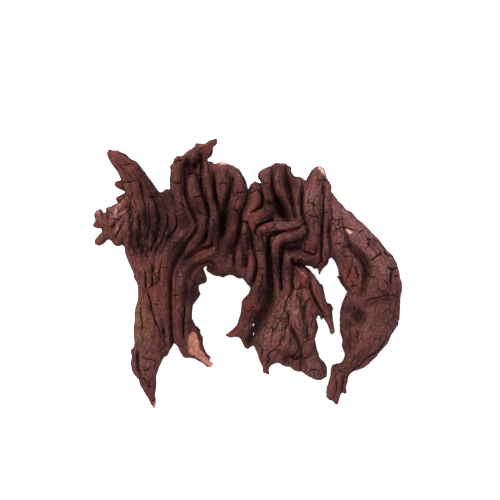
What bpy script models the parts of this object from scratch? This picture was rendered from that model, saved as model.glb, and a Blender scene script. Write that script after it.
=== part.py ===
# A piece of driftwood: one weathered root, pleated into folds, with a horn, two legs, a shield and a long
# arm.
# It lies on its back, +Z up. Lengths in the tables are in millimetres, in plan: x to the right, y away.
# The origin is under the middle of its box, on the surface that it lies on.

import random

import bmesh
import bpy
import numpy as np
from mathutils.kdtree import KDTree

MM = 0.001
NAME = "driftwood"
BARK = (0.086, 0.032, 0.026, 1.0)

# Driving dimensions.
GRID = 1.0              # spacing of the plan grid that the thickness is worked out on
FULLNESS = 1.70         # how round a thin limb's section is: 2.0 would be a full circle
SPREAD = 15.5           # how far from its edge the body goes on thickening
BACK_SHARE = 0.80       # how much the hidden side bulges, as a share of the front
RISE_SCALE = 1.3        # how boldly the folds stand out
BACK_RISE = 0.8         # how boldly they run through on the hidden side
BACK_WIDTH = 1.1        # how wide they are there, as a share of the front
BACK_WANDER = 2.5       # how far they stray there
PLATE_VOXEL = 0.8       # size of the cells of the thin plate that the body is swollen from
SKIN = 0.5              # least half thickness, at the very edge
STEP = 2.5              # spacing of the points along a fold
ROUNDING = ((0.5, 0.83), (0.85, 0.45))  # a fold's rounded end: how far past the end, and how wide, in radii
FURROW_STEP = 1.0       # and along a furrow
FURROW_FLARE = 1.25     # how much wider a furrow's mouth is than its listed width
FURROW_ROOM = 0.9       # how deep a furrow may go, as a share of half the thickness
RELAX_ROUNDS = 700      # passes that the skin over the outline takes to settle
VOXEL = 1.6             # size of the cells that fuse the folds and the body
TRIANGLES = 10800       # how many faces are left at the end
SEED = 11

# The outline seen from above, clockwise from the horn's root.
OUTLINE = [
    (-87, 80.5), (-90, 83), (-95, 90.5), (-101.5, 100), (-106, 106), (-110, 111), (-120, 116.5),
    (-125, 120.5), (-130, 122.5), (-134, 122.7), (-138, 124), (-140, 121), (-140, 118), (-138.5, 114),
    (-136, 110), (-132, 107), (-128.5, 103.5), (-127, 100), (-127, 97), (-126, 93), (-129, 93), (-133, 90),
    (-132.5, 88), (-130, 85), (-127, 83.5), (-123, 81.8), (-122, 80.5), (-126, 79), (-128.5, 76),
    (-128, 73), (-129, 71), (-134, 69), (-137, 67), (-140, 66.5), (-138.5, 63.5), (-139.5, 61),
    (-143, 61.5), (-144, 59.5), (-146, 62), (-149, 64), (-152, 62), (-152.5, 59), (-151, 55),
    (-153.5, 50.5), (-150, 46.5), (-146, 45), (-143.5, 44), (-145, 41), (-149, 38.5), (-151, 35),
    (-150, 31), (-147, 28.5), (-144, 29), (-140, 33.5), (-138, 34), (-134, 29), (-130, 26.5), (-127, 28),
    (-125, 29), (-123, 25), (-121.5, 20), (-120, 14), (-119, 9.5), (-116.5, 5), (-114, 2), (-113, 0),
    (-115, -2), (-114.5, -4), (-112, -8.5), (-110, -11), (-109, -14), (-109, -20), (-110, -28),
    (-112.5, -36), (-113, -40), (-113, -48), (-114, -55), (-114, -62), (-113.5, -70), (-115.5, -76),
    (-117, -83), (-117.8, -90), (-117, -96), (-115, -101), (-110, -107), (-107, -113), (-103, -120),
    (-99, -126), (-97, -131), (-95, -135), (-92.5, -136), (-92, -130), (-92, -125), (-93.5, -118),
    (-94, -110), (-92, -101), (-89, -94), (-86, -88), (-84, -84), (-81, -83), (-80, -81), (-78, -77),
    (-77, -72), (-75.5, -69.5), (-72, -72), (-70, -75), (-69, -78), (-66, -83), (-63.5, -85.5), (-58, -85),
    (-50, -86.5), (-47, -87), (-44, -90), (-40, -94), (-37.5, -94.5), (-35.5, -92.5), (-36, -90),
    (-38.5, -88), (-39, -86), (-41, -83), (-44, -79), (-44.5, -76), (-45, -70), (-45, -64), (-47, -61),
    (-50, -58), (-52, -54), (-54, -49), (-56, -45), (-56, -38), (-55.5, -32), (-53, -29), (-50, -25),
    (-48, -22), (-47.5, -20), (-49.5, -16), (-50, -13), (-48, -11.5), (-44, -10), (-42, -9), (-41, -7.5),
    (-42, -4), (-42.5, 0), (-44, 2.5), (-45, 4), (-44.5, 7.5), (-43, 8), (-40, 6), (-36, 2.5), (-33, 1),
    (-30, -2), (-28, -3.5), (-25, -4.5), (-23, -3.5), (-21.5, -1.5), (-17, -1.5), (-12, -2.5), (-8, -3),
    (-5, -6), (-2, -10), (0, -12.5), (2.5, -13.5), (3, -17), (0, -21), (-3, -24), (-5, -28), (-5.5, -34),
    (-6.5, -40), (-8, -45), (-10, -50), (-14, -55), (-19, -58), (-22, -60.5), (-24, -62), (-22, -63.5),
    (-18, -65), (-14, -64), (-10, -64), (-8, -66), (-6, -70), (-4, -74.5), (-2, -76.3), (0, -76),
    (3, -73.5), (5, -72.5), (6, -74), (7, -77), (9, -81), (11, -88), (14, -94), (17, -99.5), (19, -102),
    (21, -101.5), (21.5, -99.5), (20, -98), (20.5, -95.5), (23, -92), (26, -90.5), (31, -90), (34, -92.5),
    (38, -93.8), (41, -93.5), (44, -96), (48, -98.5), (51, -99), (52.5, -98), (54, -99.5), (58, -102.5),
    (63, -105.5), (68, -107.5), (73, -107.5), (76, -105.5), (78, -104.5), (79, -101), (79, -96),
    (77.5, -92), (74, -87.5), (71, -84), (69.5, -79), (67.5, -73), (66.3, -66), (66, -60), (66.5, -53),
    (67, -47), (68.5, -42.5), (70, -41), (71, -43), (72, -45.5), (73, -43), (74, -41.5), (75, -42),
    (77, -46), (79.5, -51), (81, -55.5), (83, -59.5), (85, -60), (86, -58), (85, -52), (84.5, -46),
    (84, -39), (84.5, -36), (84.5, -33), (83, -32.3), (81.5, -33), (80.5, -31), (78.5, -30.3), (78, -29),
    (76.5, -25), (75.5, -20), (74, -12), (73, -10.5), (71, -10.5), (69.5, -8), (67, -5), (66, -2),
    (64.5, -0.5), (61, 2.5), (58, 3.5), (56, 5), (56, 7), (57, 8.2), (60, 7.5), (63, 6.5), (65, 4.5),
    (66, 4), (68, 5.5), (69, 4.5), (69.5, 0), (70.2, -2), (71.5, -0.5), (72.5, 3.5), (75, 5.5), (77.5, 8),
    (79, 12), (79.5, 14), (81, 15), (82.5, 16), (84, 15), (86, 11.5), (88, 7), (90, 3), (90.5, -3),
    (90, -6.5), (91, -7.5), (92, -6.5), (92, -5), (93.5, -4.5), (95, -9), (97, -12), (99, -15), (99, -17),
    (97.5, -20), (95, -25), (93, -30), (92.3, -38), (92, -45), (92, -58), (94, -64), (94.5, -67), (94, -73),
    (96, -80), (95.5, -84), (93, -89.5), (88, -91), (84, -92.5), (83, -96), (82.5, -103), (80.5, -109),
    (79, -114), (78.2, -120), (79.5, -125.5), (81.5, -127.5), (84, -127), (85.5, -130), (88, -132),
    (90, -131.8), (90.5, -129), (92, -123.5), (93, -120.5), (95, -120.5), (95.8, -121.5), (97, -117),
    (99.5, -109.5), (99.8, -104), (102, -101), (105, -98.5), (110, -97), (115, -95), (120, -91.5),
    (125, -86), (130, -80.5), (135, -75), (139, -70), (141, -65), (144, -60), (148, -54), (150, -49.5),
    (149.5, -48.5), (147.5, -47.8), (148, -47.2), (150.5, -47), (150.8, -40), (151.5, -30), (151.5, -22),
    (153, -18), (153.5, -14), (152.5, -8), (151, -4), (150, 2), (148.5, 7), (147, 12), (144, 18),
    (140, 21.5), (135, 26.5), (132.5, 31), (128, 35.5), (122, 42), (115, 49.5), (108, 55), (101, 60),
    (97, 64), (93.5, 69), (90, 72), (87, 76), (84, 80), (82.5, 81.5), (82.5, 84), (83, 87), (82, 89.5),
    (79.5, 93), (78, 96), (77, 100), (76.5, 102), (75, 105), (72.5, 107.5), (70, 108), (67.5, 106.5),
    (65, 104), (63, 100.5), (62, 96.5), (60.5, 94), (58, 92), (56, 93.5), (53, 96), (51, 97), (47.5, 96.8),
    (46, 97), (45, 100), (43, 104.5), (41, 108.5), (38, 110), (34, 110.3), (30, 110), (25, 108.5),
    (20, 107), (14, 104.5), (11, 102.5), (9.5, 100), (9, 97), (10.5, 94), (13, 91), (12.5, 89.5),
    (10, 90.3), (8, 91), (6, 90), (2.5, 90), (1.5, 88), (1, 85.5), (0, 83.5), (-1.5, 87), (-2, 91),
    (-3.5, 95), (-6, 99), (-8, 103), (-10, 105), (-14, 107.5), (-20, 109.5), (-22, 110.5), (-24, 111.8),
    (-27, 112), (-29, 110.5), (-32, 110), (-34, 109.8), (-36, 112), (-38, 111.7), (-40, 111.5),
    (-39, 113.5), (-37.5, 117), (-37, 120.5), (-35, 125), (-32, 130), (-30.3, 133), (-31, 134.5),
    (-33.5, 134), (-38, 133), (-42, 130.5), (-45, 129), (-46.5, 128.5), (-47, 130), (-50, 129.8),
    (-52, 129), (-55, 126), (-58, 123), (-61, 121.5), (-64, 118.8), (-66, 117.3), (-69, 117.5), (-72, 116),
    (-75, 114.5), (-74.5, 112), (-76.5, 107), (-78, 100), (-78.5, 94), (-78, 87), (-78.5, 83.5), (-80, 83),
    (-85, 82),
]

# How high the middle of the wood's thickness lies: (x, y, z).
MIDDLE = [
    (-138, 120, 44), (-105, 92, 36), (-148, 52, 32), (-125, 55, 34), (-98, 40, 24), (-100, 0, 22),
    (-97, -55, 19), (-103, -90, 17), (-95, -130, 11), (-60, -20, 24), (-60, -70, 20), (-38, -92, 10),
    (-65, 95, 31), (-33, 132, 43), (-20, 85, 29), (-30, 40, 28), (0, 5, 31), (-30, 0, 22),
    (25, 95, 33), (30, 62, 21), (28, 42, 33), (15, -15, 30), (-2, -50, 23), (-22, -62, 17),
    (40, -35, 30), (20, -95, 23), (45, -75, 20), (68, -95, 19), (66, -15, 38), (84, -55, 44),
    (66, 80, 31), (72, 30, 28), (92, 50, 29), (100, 0, 22), (125, 20, 31), (140, -20, 29),
    (110, -45, 20), (125, -75, 24), (92, -100, 14), (88, -128, 8),
]
MIDDLE_REACH = 17.0

# The folds. Each is a run of points (x, y, half width, rise), and the rise is how far its crest stands above
# the body.
FOLDS = {
    "horn_left": [(-137.5, 119, 3.5, 0), (-132, 111.5, 4.5, 2), (-126, 103.5, 4.5, 3), (-121, 96, 4.5, 3),
        (-118, 87, 4.5, 3), (-115.5, 77, 4, 2), (-113, 66, 3.5, 1)],
    "horn_mid": [(-134, 119.5, 3.5, 1), (-127, 114, 4.5, 3), (-119, 106, 5, 4), (-113, 96, 5, 4),
        (-109.5, 84, 4.5, 3), (-106, 72, 4, 2), (-104.5, 60, 3.5, 1)],
    "horn_right": [(-131, 119.5, 3, 0), (-122, 115, 4, 2), (-113, 108, 4.5, 3), (-106, 98, 4.5, 3),
        (-100, 88, 4.5, 3), (-96, 78, 4, 2), (-92, 68, 4, 1), (-88, 58, 3.5, 0)],
    "side_knob": [(-130, 89, 3.5, 3), (-125, 88, 4, 3), (-119, 87, 4, 1)],
    "burl_top": [(-126, 75.5, 3, -2), (-121, 74, 3.5, 1), (-116, 71, 3, 0)],
    "burl_main": [(-136, 64, 3, 0), (-131, 62, 5.5, 4), (-126, 65, 5, 5), (-120, 70, 4, 3)],
    "burl_low": [(-139, 44, 4.5, 1), (-135, 50, 5.5, 4), (-130, 56, 5.5, 5), (-124, 60, 4.5, 3)],
    "burl_foot": [(-131, 30.5, 3.5, 1), (-131, 38, 5, 3), (-129, 46, 5, 3), (-126, 53, 4.5, 2)],
    "burl_foot_2": [(-137, 38, 3.5, 0), (-136, 44, 4, 2), (-137, 51, 4, 1)],
    "bud_top": [(-149, 61, 2.8, 1), (-148.5, 56, 3.2, 3), (-145.5, 51, 3.2, 3), (-142, 48, 3, 1)],
    "bud_mid": [(-151, 50.5, 2.5, 0), (-148, 48, 3, 1), (-144, 47, 3, 0)],
    "bud_slit": [(-142, 59.5, 2, 0), (-141.5, 54, 2.4, 2), (-140.5, 48, 2.4, 1)],
    "bud_low": [(-147, 33.5, 4.2, 2), (-144.5, 37, 4, 2), (-140, 41, 3.5, 1)],
    "fan_1": [(-120, 60, 3, 2), (-120.5, 50, 3.5, 3), (-121.5, 40, 3.5, 3), (-119.5, 28, 3.5, 2),
        (-117, 16, 3, 2), (-112, 4, 3.5, 2), (-107, -8, 3.5, 2)],
    "fan_2": [(-112.5, 56, 3, 1), (-112, 46, 3.2, 2), (-112, 36, 3.2, 2), (-113.5, 25, 3, 2),
        (-113, 14, 2.6, 1), (-108, 3, 3, 2)],
    "fan_3": [(-104.5, 56, 3, 0), (-104, 45, 3, 1), (-104, 34, 3, 1), (-105, 24, 3, 1),
        (-105.5, 14, 2.8, 1), (-104.5, 3, 2.8, 1), (-103.5, -8, 2.8, 1)],
    "fan_4": [(-95, 62, 3.2, -1), (-94, 52, 3.5, 0), (-94.5, 42, 3.2, 0), (-97, 32, 3, 0), (-100, 22, 3, 0),
        (-101.5, 12, 2.8, 1)],
    "fan_5": [(-86, 66, 3.5, -2), (-84.5, 56, 3.8, -1), (-85.5, 46, 3.6, -1), (-88.5, 36, 3.2, -1),
        (-92, 27, 2.8, 0), (-95, 18, 2.5, 0)],
    "fan_6": [(-76, 62, 3.5, -2), (-75.5, 53, 4.2, -1), (-77, 44, 4, -1), (-81.5, 36, 3.5, 0),
        (-86, 28, 3, 0)],
    "fan_back": [(-84, 79, 3.5, -2), (-81, 74, 4, -3), (-78, 66, 4, -4)],
    "shin_1": [(-103, 8, 3.5, 2), (-102, -4, 4, 3), (-104, -16, 4.2, 3), (-105.5, -30, 4.5, 3),
        (-107, -44, 4.8, 3), (-108, -58, 5, 3), (-108.5, -70, 5, 2)],
    "shin_2": [(-99.5, 10, 3, 2), (-98.5, -2, 3.5, 3), (-98, -14, 3, 2), (-100.5, -28, 3.5, 2),
        (-101, -42, 3.5, 2), (-100.5, -56, 4.5, 2), (-102, -70, 5, 2), (-103.5, -84, 5, 3),
        (-103, -97, 4.5, 3)],
    "shin_3": [(-92, 8, 3, 2), (-91.5, 0, 3.8, 4), (-92, -9, 3, 2)],
    "shin_4": [(-90, -14, 4.5, 3), (-91, -26, 5, 3), (-91.5, -38, 4.5, 3), (-89.5, -50, 4.5, 3),
        (-88, -60, 4, 3), (-86, -70, 3.5, 2)],
    "shin_5": [(-94, -54, 3, 2), (-93, -64, 3.5, 2), (-91, -74, 3.5, 2), (-91, -84, 4, 2), (-93, -94, 4, 2),
        (-96, -104, 4, 2), (-97.5, -114, 3.4, 1), (-96, -124, 2.6, 1)],
    "shin_6": [(-97.5, -70, 3.5, 2), (-97, -82, 4, 3), (-98, -94, 4, 3), (-100, -104, 3.5, 2),
        (-101, -113, 3, 1)],
    "calf": [(-112.5, -78, 3, 1), (-113, -88, 3.6, 2), (-112, -97, 3.4, 2), (-108.5, -104, 3, 1)],
    "ankle": [(-84, -40, 4, 2), (-83, -54, 4.2, 2), (-81.5, -66, 4, 2), (-81.5, -76, 3, 1)],
    "sash": [(-60.5, 43, 3.4, 4), (-66, 37.5, 4.8, 7), (-72, 31, 5.5, 8), (-78, 24.5, 6, 8),
        (-82.5, 16, 5.6, 6), (-84, 6, 5, 4), (-84.5, -6, 4.5, 3), (-84.5, -20, 4.2, 3), (-84.5, -34, 4, 2)],
    "sash_low": [(-88, 16, 3, 3), (-88.5, 10, 3.2, 4), (-87, 2, 2.6, 2)],
    "crown_1": [(-70, 114, 3.8, 1), (-71, 106, 5, 5), (-71, 96, 5.6, 6), (-71, 86, 5.6, 6), (-70, 76, 5, 5),
        (-68.5, 66, 4.2, 3), (-67, 57, 3.6, 2), (-65, 49, 3, 1)],
    "crown_2": [(-63, 76, 2.6, 2), (-60.5, 67, 3, 4), (-57.5, 59, 3.4, 5), (-54.5, 51, 3.8, 6),
        (-55.5, 43, 4, 6), (-59, 36.5, 3.8, 4), (-63, 30, 3.6, 2), (-67, 24, 3.2, 0)],
    "crown_3": [(-55, 97, 4.5, 5), (-54.5, 88, 5.6, 8), (-53, 78, 6, 9), (-50, 69, 6.2, 9),
        (-46.5, 60, 5.4, 8), (-45, 50, 4.6, 7), (-47, 41, 4.6, 7), (-52, 33.5, 4.6, 6), (-58, 26.5, 4.2, 4),
        (-63.5, 19, 3.6, 2), (-67.5, 12, 3, 0)],
    "crown_4": [(-43.5, 110, 2.6, 2), (-42.5, 101, 3.2, 5), (-41.5, 93, 4.6, 8), (-41, 84, 4.8, 8),
        (-39, 76, 3.8, 6), (-37, 68, 2.6, 3), (-35, 61, 2.2, 1)],
    "crown_5": [(-28.5, 106, 4.8, 3), (-27.5, 97, 5.4, 7), (-27, 88, 5.4, 8), (-26.5, 80, 4.8, 7),
        (-26.5, 72, 3, 4), (-25, 64, 2.2, 1)],
    "crown_6": [(-17, 103, 5.5, 3), (-12, 97, 6, 6), (-10, 88, 6.6, 8), (-9.5, 78, 6.8, 8),
        (-11.5, 69, 6.2, 7), (-14.5, 60, 5, 6), (-15, 51, 4.4, 6), (-15, 43, 3.4, 4)],
    "crown_fin": [(-33.5, 131.5, 1.8, 0), (-37.5, 126.5, 3.4, 3), (-41.5, 121, 4.4, 5), (-44.5, 115, 4, 5),
        (-47, 108, 3.2, 3), (-49, 100, 2.4, 1)],
    "crown_fin_2": [(-49.5, 127, 2.2, 1), (-53, 121, 3.4, 4), (-54.5, 113, 3.8, 5), (-54.5, 106, 3, 3)],
    "crown_fin_3": [(-62.5, 117.5, 2, 0), (-61, 111, 2.4, 0), (-61.5, 104, 2.2, -2)],
    "heart_1": [(-37, 56, 2.8, 3), (-37, 46, 3.2, 5), (-38, 37, 3.2, 4), (-40.5, 28.5, 2.8, 3)],
    "thigh": [(-34, 23, 4.5, 3), (-43, 19.5, 6, 6), (-52, 14.5, 6.2, 7), (-60, 7.5, 6, 7),
        (-65.5, -2, 5.8, 6), (-67.5, -14, 5.4, 5), (-68.5, -28, 5, 4), (-69, -42, 4.8, 4),
        (-69.5, -56, 4.2, 3), (-67.5, -69, 4, 2), (-64, -79, 3.6, 1)],
    "thigh_back": [(-50, 6, 3, 0), (-56, -3, 4, 2), (-59, -14, 4.5, 2), (-61, -28, 4.2, 2),
        (-62.5, -42, 3.6, 2), (-62, -54, 3.4, 2), (-61, -66, 3.4, 1)],
    "thigh_edge": [(-49, -3, 3.5, -2), (-46.5, -6.5, 3.4, -2)],
    "thigh_edge_2": [(-55, -16, 3.6, 0), (-51, -20, 3, -1)],
    "toe": [(-53, -52, 2.6, 2), (-49, -62, 3, 3), (-48, -72, 3, 2), (-45.5, -80, 2.6, 2),
        (-42, -86, 2.2, 1)],
    "toe_2": [(-62, -80, 3, 2), (-55, -82.5, 3, 2), (-48, -84.5, 2.6, 2), (-42, -89.5, 2.6, 2),
        (-38, -92, 2.2, 1)],
    "heart_2": [(-17, 39, 2.8, 4), (-20.5, 33, 3.6, 6), (-24, 26, 3.8, 6), (-26, 18, 3.4, 4),
        (-27, 11, 2.6, 1)],
    "heart_3": [(-9, 26, 2.8, 4), (-9, 19, 3.6, 7), (-9, 12, 3.4, 6)],
    "heart_4": [(-4, 48, 2.8, 4), (-4, 40, 3.2, 6), (-4.2, 32, 2.8, 5), (-3.5, 25, 2.2, 2)],
    "heart_5": [(2.5, 23, 2.8, 4), (3.6, 15, 3.4, 6), (3.2, 6, 3.8, 6), (1.5, -3, 4, 5), (0.5, -9, 3, 2)],
    "heart_6": [(-3, 20, 2, 1), (-3, 12, 2, 1)],
    "heart_7": [(-33, 44, 2.4, 1), (-32, 34, 2.6, 0), (-31, 24, 2.6, 1), (-31.5, 14, 2.6, 1),
        (-28, 6, 3, 0)],
    "heart_8": [(-18, 20, 2.6, 0), (-18, 11, 3.2, 1), (-14, 3, 3.5, 1)],
    "belly": [(-46, 9, 2.4, -5), (-38, 5.5, 3, -5), (-31, 1, 3, -5), (-26, -1.5, 3, -5), (-19, 1, 3, -4),
        (-10, 0, 3, -3)],
    "gap_step": [(4.5, 86.5, 3.5, 0), (8.5, 87.5, 3, 0)],
    "plate_1": [(6.5, 80, 5, 4), (7.5, 72, 5.6, 6), (4, 65, 5, 6), (0.5, 58, 4.6, 5), (-2.5, 54, 3, 3)],
    "plate_2": [(23, 64, 5, 5), (16, 59.5, 7, 7), (9, 55.5, 7, 7), (4, 50, 5, 5), (4, 43, 3.4, 3)],
    "lobe_1": [(13.5, 98.5, 4, 3), (16.5, 95, 4.8, 5), (18, 87, 4.2, 5), (18.5, 80, 4.2, 5),
        (20.5, 73.5, 3.6, 4)],
    "lobe_2": [(30, 105, 4, 2), (29, 97, 4, 5), (30.5, 88, 4.2, 6), (33, 80, 4, 5), (37, 71, 3.4, 3),
        (40, 64, 3.4, 2), (42, 57, 2.8, 1)],
    "lobe_3": [(40.5, 104, 3, 1), (41, 96, 3, 2), (43, 88, 2.6, 1)],
    "lobe_rim": [(12.5, 99, 3.4, 1), (20, 102.5, 3.6, 2), (29, 105.5, 3.4, 1), (37, 106, 3.2, 1)],
    "lobe_4": [(50.5, 92, 2.6, 2), (49, 84, 2.4, 4), (47, 76, 2.6, 4), (46, 68, 2.6, 3), (47, 60, 2.6, 2)],
    "lobe_5": [(54, 92, 2.4, 0), (53.5, 84, 2, 0)],
    "coil_1": [(10, 41, 3.8, 4), (13.5, 44.5, 4.6, 7), (21, 46, 4.8, 9), (30, 47.2, 4.6, 9),
        (39, 46.8, 4.6, 9), (47, 49, 4, 7), (52, 53, 3, 4)],
    "coil_2": [(55, 45, 4, 4), (50, 40, 5, 7), (42, 37, 5, 9), (33, 35.4, 4.8, 10), (28, 31, 4.2, 10),
        (26, 23, 4, 8), (27, 13, 3.2, 6), (28, 3, 3, 5), (28, -7, 3, 4), (28, -17, 3.2, 3),
        (29, -27, 3.6, 2), (27, -40, 3.6, 1)],
    "rope_1": [(8.5, 37, 3.6, 4), (10, 29, 5, 7), (10.5, 22, 5, 7), (13, 14, 4.6, 6), (14, 5, 4.6, 6),
        (13, -4, 4.6, 6), (10.5, -13, 5, 5), (7, -22, 5, 4), (3, -31, 5, 4), (0, -41, 4.6, 3),
        (-3, -50, 4.2, 3), (-8, -58, 3.6, 2), (-14, -61.5, 2.6, 1), (-20, -62, 1.6, 0)],
    "rope_2": [(19.5, 33, 2.6, 0), (21, 22, 2.6, -2), (21.5, 8, 2.6, -3), (21, -8, 2.8, -3),
        (19, -22, 3.2, -4), (15, -36, 3.4, -5), (9, -48, 3.6, -5), (4, -60, 3.6, -4), (-0.5, -70, 3.6, -3)],
    "rope_3": [(38, 17, 3.6, 4), (37.2, 9, 4, 6), (37, -1, 4, 6), (38, -10, 4, 5), (40, -19, 4, 3),
        (41, -28, 4, 3)],
    "rope_4": [(43, 17.5, 2.8, 3), (50, 16, 3, 3), (58, 15.5, 4, 3), (64, 12.5, 3.6, 1)],
    "rope_5": [(50, 27, 3, -3), (42, 26, 3, -5), (36, 24, 3, -5)],
    "knob": [(52, 2.5, 3.6, 2), (55, -2, 5.5, 5), (54.5, -8, 5, 3)],
    "mast": [(70, 103, 4.5, 1), (68, 96, 6.4, 4), (65, 86, 7.4, 6), (62.5, 75, 7.8, 7), (62, 64, 7.8, 7),
        (64.5, 53, 6.8, 6), (65.5, 43, 5.2, 6), (64, 34, 4.8, 5), (61.5, 27, 4, 3)],
    "strip": [(76, 94, 3, 0), (76.5, 84, 3.2, 1), (77.5, 72, 3.2, 2), (77, 60, 3.2, 2), (75.5, 48, 2.6, 1),
        (75, 36, 3, 0), (75.5, 24, 3.2, 0), (74.5, 13, 3.2, 0), (71.5, 4, 2, -1)],
    "strip_2": [(69, 25, 2.6, 0), (69.5, 16, 2.8, 0), (68, 9, 2, -1)],
    "arm_inner": [(84, 72, 4.5, 1), (86.5, 60, 5.4, 3), (87.5, 48, 5.8, 4), (89.5, 36, 5.8, 4),
        (91, 24, 5.8, 4), (93.5, 12, 5.8, 3), (97, 0, 5.6, 3), (101, -11, 5, 2)],
    "arm_outer": [(91, 64, 5, 0), (100, 53, 7, 3), (106, 43, 8, 5), (112, 33, 9.5, 6), (120, 23, 11, 6),
        (127, 11, 11, 5), (131, -3, 11, 4), (132, -16, 10, 2)],
    "arm_wrist": [(101, -28, 6, 1), (98.5, -42, 5.4, 1), (99, -56, 5.4, 1), (101.5, -70, 5.4, 1)],
    "arm_palm": [(131, -34, 9, 0), (125, -54, 9, 1), (117, -66, 9, 2), (109, -78, 7.5, 2), (101, -89, 6, 2),
        (92, -97, 5, 1), (88, -108, 4.8, 2), (85, -118, 4.6, 1), (83.5, -123.5, 3.2, 0)],
    "arm_tip": [(96, -103, 3, 0), (94.5, -112, 3, 1), (91.5, -121, 3, 1), (89, -128, 2.4, 0)],
    "spike": [(61, -2, 3.6, 1), (65.5, -10, 4.2, 5), (69.5, -20, 4.4, 6), (73.5, -30, 4.4, 5),
        (78, -40, 3.8, 3), (81.5, -50, 3, 2), (84, -57.5, 1.8, 0)],
    "spike_edge": [(82.8, -35, 1.6, 0), (82.5, -43, 1.8, 0)],
    "shield_1": [(29, -28, 4, 1), (26, -40, 6, 1), (21, -52, 7, 1.5), (17.5, -64, 7, 1.5),
        (16, -76, 6, 1.5), (16, -87, 4, 1.5), (18.5, -97, 2.2, 0)],
    "shield_2": [(41, -20, 4.4, 2), (38, -30, 6, 3), (33, -42, 7, 2.5), (29, -54, 8, 2), (26, -66, 7.5, 2),
        (25, -78, 6, 1.5)],
    "shield_3": [(50, -8, 3.6, 1), (48, -18, 4.6, 3), (46.5, -30, 6, 4), (47, -42, 6.4, 6),
        (48.5, -50, 5.6, 7), (50, -58, 3.6, 4)],
    "shield_4": [(38, -58, 5, 3), (39, -68, 5.6, 3), (36, -77, 4.6, 2), (31, -85, 4.2, 1)],
    "shield_5": [(57, -16, 3.4, 2), (60.5, -28, 4.4, 4), (61, -40, 4.6, 4), (62, -52, 4.4, 4),
        (61, -64, 4.6, 3), (59, -76, 5, 2)],
    "shield_6": [(64.5, -82, 4, 1), (64, -91, 8, 4), (68, -98, 7.5, 3)],
    "shield_7": [(44, -90, 4, 0), (48.5, -93.5, 3.6, 0)],
}

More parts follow.
